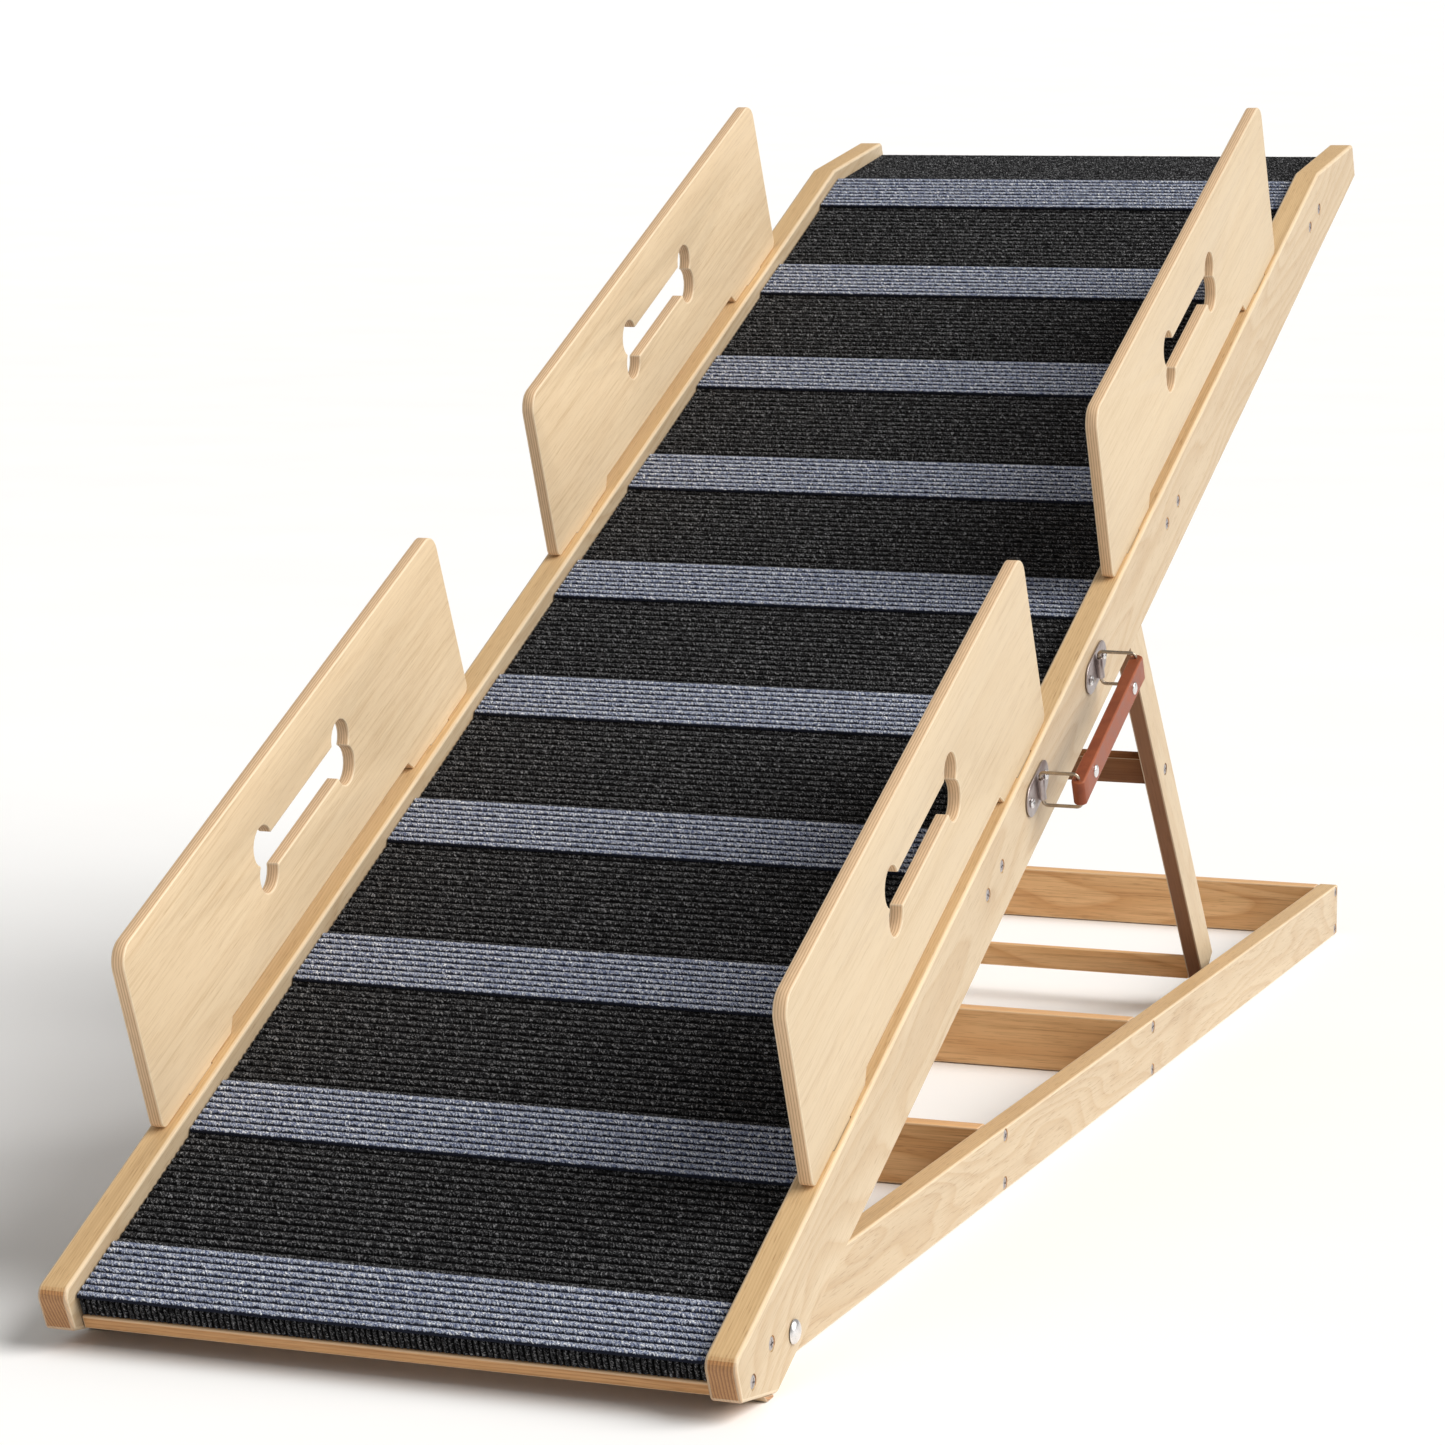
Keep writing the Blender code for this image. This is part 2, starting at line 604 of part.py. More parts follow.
def wire_bore(x, u, radius):
    """A cutter for the hole that a ring's wire runs through."""
    return extruded(arc((x, u), radius, 0, 360 - 360 / 12, 11), "z", -2 * OVERCUT, 2 * OVERCUT)


def build_plate_screw(name, parent, steel, location):
    sections = [(0.0, 0.0), (0.0, 0.0034), (0.0008, 0.0030), (0.0014, 0.0018), (0.0016, 0.0)]
    screw = add_object(name, stepped_rod(sections, 14), parent, steel, location)
    shade_round(screw)


def build_ring(name, parent, steel, location):
    """A closed rectangle of wire with rounded corners; one side runs inside the plate's loop."""
    curve = bpy.data.curves.new(name, "CURVE")
    curve.dimensions = "3D"
    corner = RING_CORNER_R
    high = RING_H / 2
    points = []
    points += arc((RING_REACH - corner, high - corner), corner, 90, 0, 3)
    points += arc((RING_REACH - corner, -high + corner), corner, 0, -90, 3)
    points += arc((corner, -high + corner), corner, -90, -180, 3)
    points += arc((corner, high - corner), corner, 180, 90, 3)
    spline = curve.splines.new("POLY")
    spline.points.add(len(points) - 1)
    for target, (x, w) in zip(spline.points, points):
        target.co = (x, 0.0, w, 1.0)
    spline.use_cyclic_u = True
    curve.bevel_depth = RING_R
    curve.bevel_resolution = 1
    curve.materials.append(steel)
    ring = bpy.data.objects.new(name, curve)
    bpy.context.scene.collection.objects.link(ring)
    ring.parent = parent
    ring.location = location


def strap_outline():
    """Plan of the strap in (x, u) about its middle: round ends that wrap the rings' outer sides."""
    half = (PLATE_U[1] - PLATE_U[0]) / 2
    radius = STRAP_T / 2 + STRAP_LAP
    inner = -STRAP_T / 2
    flap = half - STRAP_FLAP
    points = []
    for sign in (1, -1):
        end = arc((0.0, half), radius, 0, 180, 8)
        side = [(STRAP_T / 2, half - STRAP_T)] + end
        side += [(inner - STRAP_LAP, flap), (inner, flap - STRAP_T / 4)]
        if sign < 0:
            side = [(x, -u) for x, u in reversed(side)]
        points += side
    return points


def build_strap(handle, leather, steel):
    middle_u = sum(PLATE_U) / 2
    centre_x = handle_axis_x() + RING_REACH
    bm = extruded(strap_outline(), "z", -STRAP_H / 2, STRAP_H / 2)
    strap = add_object("grip_strap", bm, handle, leather, (centre_x, middle_u, HANDLE_W))
    half = (PLATE_U[1] - PLATE_U[0]) / 2
    for name, sign in (("lower", -1), ("upper", 1)):
        cut_with(strap, "strap_bore_" + name, wire_bore(0.0, sign * half, RING_R + STRAP_BORE_PLAY))
        rivet_u = sign * (half - RIVET_U)
        hole = bmesh.new()
        rod_along_x(hole, RIVET_R + PLAY, -OVERCUT, OVERCUT, 12, (rivet_u, 0.0))
        cut_with(strap, "strap_rivet_hole_" + name, hole)
        outer = STRAP_T / 2 + GAP
        inner = -STRAP_T / 2 - STRAP_LAP - GAP
        head_r, head_top_r, head_t = RIVET_HEAD
        tail_r, tail_end_r, tail_t = RIVET_TAIL
        sections = [(inner - tail_t, 0.0), (inner - tail_t, tail_end_r), (inner, tail_r), (inner, RIVET_R)]
        sections += [(outer, RIVET_R), (outer, head_r), (outer + head_t * 0.6, head_top_r)]
        sections += [(outer + head_t, 0.0)]
        rivet = add_object("strap_rivet_" + name, stepped_rod(sections, 14), handle, steel,
                           (centre_x, middle_u + rivet_u, HANDLE_W))
        shade_round(rivet)


# ------------------------------------------------------------------ assembly
def build():
    for old in list(bpy.data.objects):
        bpy.data.objects.remove(old, do_unlink=True)

    light_wood = make_material("light_wood", (0.80, 0.66, 0.46), 0.50)
    plywood = make_material("plywood", (0.82, 0.69, 0.50), 0.50)
    carpet = make_material("dark_carpet", (0.018, 0.018, 0.020), 0.95)
    strip_fabric = make_material("strip_fabric", (0.16, 0.19, 0.25), 0.90)
    leather = make_material("brown_leather", (0.34, 0.10, 0.05), 0.50)
    steel = make_material("steel", (0.62, 0.60, 0.58), 0.35, 1.0)
    rubber = make_material("pad_rubber", (0.50, 0.42, 0.30), 0.80)

    root = add_empty("base_origin", (0, -MID_SLAT_Y, 0))
    hinge = add_empty("hinge_axis", (0, HINGE_Y, HINGE_Z), RAMP_ANGLE, root)
    ramp = add_empty("ramp_origin", (0, -HINGE_U, -HINGE_W), 0.0, hinge)
    leg = add_empty("leg_axis", (0, LEG_PIVOT_U, LEG_PIVOT_W), -(LEG_ANGLE + RAMP_ANGLE), ramp)

    build_base(root, light_wood)
    build_ramp_rails(ramp, light_wood)
    build_deck(ramp, light_wood, plywood, carpet, strip_fabric)
    build_toe_pads(ramp, rubber)
    build_guards(ramp, plywood)
    build_hinge_bolts(hinge, steel)
    build_leg(leg, light_wood, steel)
    build_leg_rests(root, light_wood)
    build_leg_brackets(ramp, leg, steel)
    build_handle(ramp, steel, leather)


build()
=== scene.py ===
"""Looks of the folding dog ramp: solid wood, plywood, ribbed carpet, steel and leather."""

import json
from math import cos, pi, radians, sin

import bmesh
import bpy
import numpy as np
from mathutils import Matrix, Vector


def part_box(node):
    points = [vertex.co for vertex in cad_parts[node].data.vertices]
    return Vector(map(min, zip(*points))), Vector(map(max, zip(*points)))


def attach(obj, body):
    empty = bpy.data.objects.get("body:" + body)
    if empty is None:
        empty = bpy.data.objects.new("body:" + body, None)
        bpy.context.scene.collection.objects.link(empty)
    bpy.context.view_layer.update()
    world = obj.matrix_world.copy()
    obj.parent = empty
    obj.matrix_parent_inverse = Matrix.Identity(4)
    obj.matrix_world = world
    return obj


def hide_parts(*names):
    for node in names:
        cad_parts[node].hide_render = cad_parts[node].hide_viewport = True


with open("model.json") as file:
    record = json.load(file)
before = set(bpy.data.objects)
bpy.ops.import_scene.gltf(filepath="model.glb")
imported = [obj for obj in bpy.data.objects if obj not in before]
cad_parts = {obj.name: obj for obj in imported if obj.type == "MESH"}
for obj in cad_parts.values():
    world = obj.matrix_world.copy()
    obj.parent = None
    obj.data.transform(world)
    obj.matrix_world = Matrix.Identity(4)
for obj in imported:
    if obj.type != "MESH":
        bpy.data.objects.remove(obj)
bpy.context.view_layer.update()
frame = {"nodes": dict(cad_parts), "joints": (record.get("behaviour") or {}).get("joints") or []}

JOINTS = {joint["name"]: joint for joint in frame["joints"]}

# ------------------------------------------------------------------ ramp coordinates
# x across, u up the slope from the nose, w above the line of the side rails' top edges.
GAP = 0.0004
HINGE_U = 0.0765
HINGE_W = -0.0415
BEND_U = 1.377
LANDING_ANGLE = radians(14.4)
LEG_SLOPE = radians(51.3)
ACROSS = Vector((1.0, 0.0, 0.0))
UP = Vector(JOINTS["guard_left_lower_lift"]["axis"])
ALONG = Vector((0.0, UP.z, -UP.y))
NOSE = Vector(JOINTS["ramp_fold"]["pos_m"]) - ALONG * HINGE_U - UP * HINGE_W
LEG_DOWN = Vector((0.0, cos(LEG_SLOPE), -sin(LEG_SLOPE)))
LEG_OVER = Vector((0.0, sin(LEG_SLOPE), cos(LEG_SLOPE)))
WORLD_Y = Vector((0.0, 1.0, 0.0))
WORLD_Z = Vector((0.0, 0.0, 1.0))

RAIL_FACE = 0.200            # outer faces of the ramp rails, of the base rails and of the leg bars
BASE_FACE = 0.1809
LEG_FACE = 0.156
NOSE_TO_ORIGIN = 0.869       # from the nose to the frame's origin, along the floor

GUARD_T = 0.0082
DECK_T = 0.0084
PLIES = 5
RING_GAP = 0.0024            # distance between growth lines
RAIL_RING_GAP = 0.0017
PLY_RING_GAP = 0.0055
SLAT_EDGE_R = 0.0012         # rounding of the boards' edges
LEG_BAR_EDGE_R = 0.0003      # these are already eased in the CAD, so the rounding is finer
DECK_EDGE_R = 0.0006
GUARD_EDGE_R = 0.0009
METAL_EDGE_R = 0.00025
PLATE_EDGE_R = 0.0003
STRAP_EDGE_R = 0.0011
PAD_EDGE_R = 0.0005

CARPET_HALF = 0.1810
CARPET_T = 0.0028
CARPET_BASE = -0.0132        # underside of the carpet on the deck
CARPET_RIB = 0.0060
FRONT_RIB = 0.0036           # on the carpet's front wrap, whose ribs run the other way
CARPET_FLOOR = 0.40          # share of the carpet's thickness between its ribs
RIM_PILE = 0.3
DECK_START = 0.0085
DECK_END = 1.4855
FRONT_WRAP_LOW = -0.0220
BEND_EASE = 0.0025           # the landing's bend in the carpet starts this much late
STRIP_COUNT = 10
STRIP_START = 0.0003
STRIP_PITCH = 0.1471
STRIP_W = 0.0482
STRIP_T = 0.0022
STRIP_RIBS = 9
LOOP = 0.0021                # one loop of yarn along a rib
LOOP_SLANT = 1.7             # loops that a strand leans by from one side of a rib to the other
LOOP_LEAST = 0.72            # height of the lowest loops, and of the dips between loops
FRONT_STEP = 0.0010          # between the front wrap's rows of points

BOARD_SEED, CARPET_SEED, STRIP_SEED, PAD_SEED = 3, 11, 40, 90

HEAD_DEPTH = 0.0012          # how deep a screw's head reaches below its rim
RECESS_L, RECESS_W = 0.62, 0.14      # the cross recess, as shares of the head's diameter
RECESS_DEPTH = 0.0018
SCREW_R = 0.0036
SCREW_PROUD = 0.0003
SCREW_SUNK = 0.0004
SCREW_HOLE_R = 0.0044
SCREW_HOLE_DEPTH = 0.0009
DECK_SLAT_U = (0.0326, 0.4733, 0.9119, 1.3543)
DECK_SCREW_OFFSET = 0.0153   # either way from a deck slat's middle
DECK_SCREW_W = -0.026
BASE_SCREW_Y = (0.5204, 0.8690, 1.4335)
BASE_SCREW_Z = (0.0347, 0.0047)
CROSSBAR_V = 0.2295          # middle of the leg's crossbar, down the leg

BOLT_SHANK_R = 0.0040
BOLT_HEAD_R = 0.0068
BOLT_RIM_T = 0.0003
BOLT_DOME_H = 0.0034
BOLT_DOME_R = 0.0060
BOLT_CHAMFER = 0.0006

PLATE_SCREW_R = 0.0033
PLATE_SCREW_PROUD = 0.0010
PLATE_SCREW_SEAT = 0.0004    # from the low end of the screw's solid to its head's rim
PLATE_SCREW_OFFSET = 0.0160  # either way from a plate's middle
RIVET_R = 0.0040
RIVET_DOME_H = 0.0012
RIVET_BACK_R = 0.0035
RIVET_BACK_T = 0.0008
RIVET_BACK_CHAMFER = 0.0005
RIVET_RIM_T = 0.0004
RIVET_SHANK_R = 0.0016
WIRE_R = 0.0011
RING_REACH = 0.0240
RING_HALF_H = 0.01175
RING_CORNER = 0.0030
STRAP_HALF_T = 0.0040
STRAP_HALF_H = 0.00825
STRAP_FLAP = 0.030           # length of each flap, back from its wire
STRAP_FOLD = 0.0004          # how far the folds and flaps stand out
STRAP_FOLD_L = 0.008         # from each wire to where its fold starts


def on_ramp(x, u, w):
    return NOSE + ACROSS * x + ALONG * u + UP * w


def matrix_of(x_axis, y_axis, z_axis, place):
    matrix = Matrix((x_axis, y_axis, z_axis)).transposed().to_4x4()
    matrix.translation = place
    return matrix


# ------------------------------------------------------------------ camera, lights, floor
def add_camera():
    data = bpy.data.cameras.new("camera")
    data.sensor_width = 36.0
    data.lens = 110.70
    camera = bpy.data.objects.new("camera", data)
    bpy.context.scene.collection.objects.link(camera)
    place = (0.9553, -2.9156, 0.6630)
    yaw, pitch, roll = radians(20.52), radians(-7.908), radians(0.049)
    turn = Matrix.Rotation(yaw, 4, "Z") @ Matrix.Rotation(pi / 2 + pitch, 4, "X")
    turn = turn @ Matrix.Rotation(roll, 4, "Z")
    camera.matrix_world = Matrix.Translation(place) @ turn
    bpy.context.scene.camera = camera


def add_lights():
    """A broad soft key from the strap's side, over a pale surround."""
    data = bpy.data.lights.new("key_light", "SUN")
    data.energy = 3.9
    data.angle = radians(50)
    data.color = (1.0, 0.985, 0.96)
    key = bpy.data.objects.new("key_light", data)
    bpy.context.scene.collection.objects.link(key)
    towards_key = Vector((0.78, 0.05, 0.62))
    key.rotation_euler = towards_key.to_track_quat("Z", "Y").to_euler()
    world = bpy.data.worlds.new("studio")
    world.use_nodes = True
    sky = world.node_tree.nodes["Background"]
    sky.inputs["Color"].default_value = (1.0, 0.99, 0.975, 1.0)
    sky.inputs["Strength"].default_value = 0.35
    bpy.context.scene.world = world
    bpy.context.scene.view_settings.view_transform = "Standard"


def add_floor():
    """Flat round the ramp and rising slowly towards a far rim, so that no horizon shows."""
    flat, rim, rise, sides = 8.0, 40.0, 3.0, 96
    bm = bmesh.new()
    centre = bm.verts.new((0.0, 0.0, 0.0))
    rings = []
    for radius in np.concatenate(((2.0, 5.0), np.linspace(flat, rim, 14))):
        height = rise * max(0.0, (radius - flat) / (rim - flat)) ** 2
        angles = np.linspace(0.0, 2 * pi, sides, endpoint=False)
        rings.append([bm.verts.new((radius * cos(a), radius * sin(a), height)) for a in angles])
    for i in range(sides):
        j = (i + 1) % sides
        bm.faces.new((centre, rings[0][i], rings[0][j]))
        for inner, outer in zip(rings, rings[1:]):
            bm.faces.new((inner[i], outer[i], outer[j], inner[j]))
    floor = finish_mesh("floor", bm)
    floor.data.shade_smooth()
    floor.location.z = -0.0005
    material, tree, shader = new_material("floor_paint")
    speckle = noise(tree, put(tree, "TexCoord").outputs["Object"], 3.0, 3)
    tone = ramp(tree, speckle, [(0.3, grey(0.93)), (0.7, grey(0.95))])
    tree.links.new(tone, shader.inputs["Base Color"])
    shader.inputs["Roughness"].default_value = 0.8
    floor.data.materials.append(material)


# ------------------------------------------------------------------ shader helpers
def new_material(name):
    material = bpy.data.materials.new(name)
    material.use_nodes = True
    return material, material.node_tree, material.node_tree.nodes["Principled BSDF"]


def put(tree, kind, inputs=None, **settings):
    """Adds a shader node; an input is a value or the socket that feeds it."""
    node = tree.nodes.new("ShaderNode" + kind)
    for key, value in settings.items():
        setattr(node, key, value)
    for key, value in (inputs or {}).items():
        if isinstance(value, bpy.types.NodeSocket):
            tree.links.new(value, node.inputs[key])
        else:
            node.inputs[key].default_value = value
    return node


def stored(tree, name, output="Fac"):
    return put(tree, "Attribute", attribute_name=name).outputs[output]


def scaled(tree, vector, scale):
    return put(tree, "VectorMath", {0: vector, 1: scale}, operation="MULTIPLY").outputs[0]


def noise(tree, vector, scale, detail=2.0, rough=0.5):
    inputs = {"Vector": vector, "Scale": scale, "Detail": detail, "Roughness": rough}
    return put(tree, "TexNoise", inputs).outputs[0]


def maths(tree, operation, a, b=0.0):
    return put(tree, "Math", {0: a, 1: b}, operation=operation).outputs[0]


def ramp(tree, value, stops):
    node = put(tree, "ValToRGB", {"Fac": value})
    band = node.color_ramp
    while len(band.elements) < len(stops):
        band.elements.new(0.5)
    for element, (at, colour) in zip(band.elements, stops):
        element.position = at
        element.color = (*colour, 1.0)
    return node.outputs["Color"]


def mix(tree, factor, a, b, blend_type="MIX"):
    node = put(tree, "Mix", data_type="RGBA", blend_type=blend_type)
    for index, value in ((0, factor), (6, a), (7, b)):
        if isinstance(value, bpy.types.NodeSocket):
            tree.links.new(value, node.inputs[index])
        elif index == 0:
            node.inputs[index].default_value = value
        else:
            node.inputs[index].default_value = (*value, 1.0)
    return node.outputs[2]


def grey(level):
    return (level, level, level)


def bump(tree, shader, height, distance, strength=1.0):
    node = put(tree, "Bump", {"Height": height, "Distance": distance, "Strength": strength})
    tree.links.new(node.outputs["Normal"], shader.inputs["Normal"])


# ------------------------------------------------------------------ materials
# Scales of the wood's patterns, per metre: along the grain, across it and through the board.
WAVE_SCALE = (2.6, 13.0, 13.0)
FIBRE_SCALE = (11.0, 560.0, 560.0)
PORE_SCALE = (65.0, 1500.0, 1500.0)
BROAD_SCALE = (2.0, 24.0, 24.0)
RIM_FIBRE_SCALE = (160.0, 160.0, 2500.0)
WAVE_DEPTH = 0.030           # how far waves, the board's width and its length move a growth line
ACROSS_TILT = 0.10
ALONG_TILT = 0.006
WOOD_RELIEF = 0.00012
YARN_RELIEF = 0.0009
LEATHER_RELIEF = 0.00012
SCRATCH_RELIEF = 0.00003


def wood_grain(tree, grain, ring_gap):
    """Growth lines, fibres, pores and broad tone, each from 0 to 1; x runs along the grain."""
    along, across, through = put(tree, "SeparateXYZ", {0: grain}).outputs
    waves = noise(tree, scaled(tree, grain, WAVE_SCALE), 1.0, 2.0, 0.45)
    depth = maths(tree, "ADD", through, maths(tree, "MULTIPLY", waves, WAVE_DEPTH))
    depth = maths(tree, "ADD", depth, maths(tree, "MULTIPLY", across, ACROSS_TILT))
    depth = maths(tree, "ADD", depth, maths(tree, "MULTIPLY", along, ALONG_TILT))
    year = maths(tree, "FRACT", maths(tree, "DIVIDE", depth, ring_gap))
    lines = ramp(tree, year, [(0.0, grey(0.5)), (0.10, grey(0.0)), (0.45, grey(0.12)),
                              (0.88, grey(0.85)), (0.96, grey(1.0)), (1.0, grey(0.5))])
    fibres = noise(tree, scaled(tree, grain, FIBRE_SCALE), 1.0, 4.0, 0.65)
    pores = noise(tree, scaled(tree, grain, PORE_SCALE), 1.0, 1.0, 0.5)
    broad = noise(tree, scaled(tree, grain, BROAD_SCALE), 1.0, 3.0, 0.6)
    return lines, fibres, pores, broad


def wood_colour(tree, parts, base, contrast):
    """The base colour with grain: darker growth lines, fibres and short pores."""
    lines, fibres, pores, broad = parts
    line_strength, fibre_strength, pore_strength, broad_strength = contrast
    late = [base[0] * 0.76, base[1] * 0.62, base[2] * 0.47]
    colour = mix(tree, maths(tree, "MULTIPLY", lines, line_strength), base, late)
    streak_stops = [(0.30, (0.72, 0.63, 0.53)), (0.50, grey(1.0)), (0.72, (1.08, 1.09, 1.10))]
    streaks = ramp(tree, fibres, streak_stops)
    colour = mix(tree, fibre_strength, colour, streaks, "MULTIPLY")
    dashes = ramp(tree, pores, [(0.30, (0.50, 0.38, 0.27)), (0.40, grey(1.0))])
    colour = mix(tree, pore_strength, colour, dashes, "MULTIPLY")
    patches = ramp(tree, broad, [(0.30, (0.84, 0.77, 0.69)), (0.70, (1.08, 1.07, 1.06))])
    return mix(tree, broad_strength, colour, patches, "MULTIPLY")


def finish_wood(tree, shader, colour, parts, shine=0.3):
    """Lighter rounded edges (painted highlight and wear), a thin satin lacquer and the grain's relief."""
    fibres, pores = parts[1:3]
    # Painted highlight and wear: the rounded edges' colour is mixed towards a lighter tan.
    edge_highlight_and_wear = mix(tree, 0.35, colour, (0.80, 0.68, 0.50))
    colour = mix(tree, stored(tree, "edge"), colour, edge_highlight_and_wear)
    tree.links.new(colour, shader.inputs["Base Color"])
    gloss = ramp(tree, fibres, [(0.3, grey(0.40)), (0.7, grey(0.54))])
    tree.links.new(gloss, shader.inputs["Roughness"])
    shader.inputs["Coat Weight"].default_value = 0.06
    shader.inputs["Coat Roughness"].default_value = 0.30
    shader.inputs["Specular IOR Level"].default_value = shine
    relief = maths(tree, "ADD", maths(tree, "MULTIPLY", fibres, 0.6), pores)
    bump(tree, shader, relief, WOOD_RELIEF, 0.5)


def wood_material(name, base, side_light_and_shade, end_tint, contrast, ring_gap=RING_GAP, shine=0.3):
    """Solid wood: side_light_and_shade paints light and shade onto the narrow faces, and end_tint colours
    the end grain.
    """
    material, tree, shader = new_material(name)
    parts = wood_grain(tree, stored(tree, "grain", "Vector"), ring_gap)
    colour = wood_colour(tree, parts, base, contrast)
    # Painted light and shade: the narrow faces take a second colour, lighter on the rails' tops and much
    # darker on the leg bars' front faces.
    side = mix(tree, 1.0, colour, side_light_and_shade, "MULTIPLY")
    colour = mix(tree, stored(tree, "sides"), colour, side)
    end_lines = ramp(tree, parts[0], [(0.1, end_tint), (0.9, [c * 0.60 for c in end_tint])])
    colour = mix(tree, stored(tree, "ends"), colour, mix(tree, 1.0, colour, end_lines, "MULTIPLY"))
    finish_wood(tree, shader, colour, parts, shine)
    return material


def plywood_material(name, base, rim_light, rim_dark, contrast, thickness):
    """Veneer with the layers' stripes along its rims."""
    material, tree, shader = new_material(name)
    grain = stored(tree, "grain", "Vector")
    parts = wood_grain(tree, grain, PLY_RING_GAP)
    colour = wood_colour(tree, parts, base, contrast)
    through = put(tree, "SeparateXYZ", {0: grain}).outputs["Z"]
    wobble = noise(tree, scaled(tree, grain, (60.0, 60.0, 0.0)), 1.0, 2.0)
    wobble = maths(tree, "MULTIPLY", maths(tree, "SUBTRACT", wobble, 0.5), 0.25)
    ply = maths(tree, "ADD", maths(tree, "MULTIPLY", through, PLIES / thickness), wobble)
    ply = maths(tree, "PINGPONG", ply, 1.0)
    rim = ramp(tree, ply, [(0.0, rim_dark), (0.25, rim_light), (0.75, rim_light), (1.0, rim_dark)])
    rim_fibres = noise(tree, scaled(tree, grain, RIM_FIBRE_SCALE), 1.0, 3.0)
    rim_fibres = ramp(tree, rim_fibres, [(0.3, grey(0.72)), (0.7, grey(1.0))])
    rim = mix(tree, 0.6, rim, rim_fibres, "MULTIPLY")
    colour = mix(tree, stored(tree, "ends"), colour, rim)
    finish_wood(tree, shader, colour, parts)
    return material


def carpet_material(name, valley_shade, shade, middle, light, shine, sheen):
    """Ribs of slanted yarn loops; the attribute `cord` counts loops along a rib in x and ribs in y; the low
    places between ribs and loops are painted shade.
    """
    material, tree, shader = new_material(name)
    cord = stored(tree, "cord", "Vector")
    fuzz = noise(tree, put(tree, "TexCoord").outputs["Object"], 900.0, 4.0, 0.75)
    along, rib = list(put(tree, "SeparateXYZ", {0: cord}).outputs)[:2]
    waver = noise(tree, scaled(tree, cord, (0.55, 1.0, 0.0)), 1.0, 3.0, 0.6)
    waver = maths(tree, "SUBTRACT", waver, 0.5)
    rib = maths(tree, "ADD", rib, maths(tree, "MULTIPLY", waver, 0.55))
    number = maths(tree, "FLOOR", rib)
    place = maths(tree, "SUBTRACT", rib, number)
    shift = put(tree, "TexWhiteNoise", {"W": number}, noise_dimensions="1D").outputs["Value"]
    jitter = noise(tree, scaled(tree, cord, (0.8, 2.0, 0.0)), 1.0, 3.0, 0.6)
    phase = maths(tree, "ADD", along, maths(tree, "MULTIPLY", place, LOOP_SLANT))
    phase = maths(tree, "ADD", phase, shift)
    phase = maths(tree, "ADD", phase, maths(tree, "MULTIPLY", jitter, 3.0))
    strand = maths(tree, "SINE", maths(tree, "MULTIPLY", maths(tree, "FRACT", phase), pi))
    crown = maths(tree, "SINE", maths(tree, "MULTIPLY", place, pi))
    strand = maths(tree, "ADD", maths(tree, "MULTIPLY", strand, 0.55), 0.45)
    relief = maths(tree, "MULTIPLY", strand, maths(tree, "POWER", crown, 0.8))
    relief = maths(tree, "MULTIPLY", relief, stored(tree, "pile"))
    flecks = noise(tree, put(tree, "CombineXYZ", {"X": phase, "Y": rib}).outputs[0], 1.7, 2.0, 0.8)
    bright = maths(tree, "ADD", maths(tree, "MULTIPLY", flecks, 0.6), maths(tree, "MULTIPLY", fuzz, 0.6))
    yarn = ramp(tree, bright, [(0.51, shade), (0.63, middle), (0.71, light)])
    # Painted shade: where the relief is low, between ribs and between loops, the near-black valley colour
    # shows.
    cover = ramp(tree, relief, [(0.32, grey(0.0)), (0.74, grey(1.0))])
    tree.links.new(mix(tree, cover, valley_shade, yarn), shader.inputs["Base Color"])
    shader.inputs["Roughness"].default_value = 0.85
    shader.inputs["Specular IOR Level"].default_value = shine
    shader.inputs["Sheen Weight"].default_value = sheen
    shader.inputs["Sheen Roughness"].default_value = 0.5
    relief = maths(tree, "ADD", relief, maths(tree, "MULTIPLY", fuzz, 0.8))
    bump(tree, shader, relief, YARN_RELIEF, 0.9)
    return material


def steel_material(name, colour, rough, stain):
    """Metal with soft stains and fine scratches; rough is the lowest and highest roughness."""
    material, tree, shader = new_material(name)
    where = put(tree, "TexCoord").outputs["Object"]
    patches = noise(tree, where, 180.0, 4.0, 0.6)
    scratches = noise(tree, scaled(tree, where, (300.0, 5200.0, 1200.0)), 1.0, 2.0)
    tone = mix(tree, ramp(tree, patches, [(0.35, grey(0.0)), (0.70, grey(0.7))]), colour, stain)
    tree.links.new(tone, shader.inputs["Base Color"])
    low, high = rough
    tree.links.new(ramp(tree, patches, [(0.3, grey(low)), (0.7, grey(high))]), shader.inputs["Roughness"])
    shader.inputs["Metallic"].default_value = 1.0
    bump(tree, shader, scratches, SCRATCH_RELIEF, 0.5)
    return material


def leather_material(name):
    """Fine pores, a mottled tone and lighter rounded edges, which are painted highlight and wear."""
    material, tree, shader = new_material(name)
    where = put(tree, "TexCoord").outputs["Object"]
    cells = put(tree, "TexVoronoi", {"Vector": where, "Scale": 1500.0}).outputs["Distance"]
    patches = noise(tree, where, 90.0, 4.0, 0.6)
    tone = ramp(tree, patches, [(0.30, (0.170, 0.036, 0.012)), (0.72, (0.255, 0.064, 0.023))])
    # Painted highlight and wear: the rounded edges' colour is mixed towards a lighter red-brown.
    edge_highlight_and_wear = mix(tree, 0.35, tone, (0.38, 0.115, 0.050))
    tone = mix(tree, stored(tree, "edge"), tone, edge_highlight_and_wear)
    tree.links.new(tone, shader.inputs["Base Color"])
    gloss = ramp(tree, patches, [(0.3, grey(0.34)), (0.7, grey(0.48))])
    tree.links.new(gloss, shader.inputs["Roughness"])
    shader.inputs["Coat Weight"].default_value = 0.04
    shader.inputs["Coat Roughness"].default_value = 0.3
    shader.inputs["Specular IOR Level"].default_value = 0.25
    bump(tree, shader, cells, LEATHER_RELIEF, 0.5)
    return material


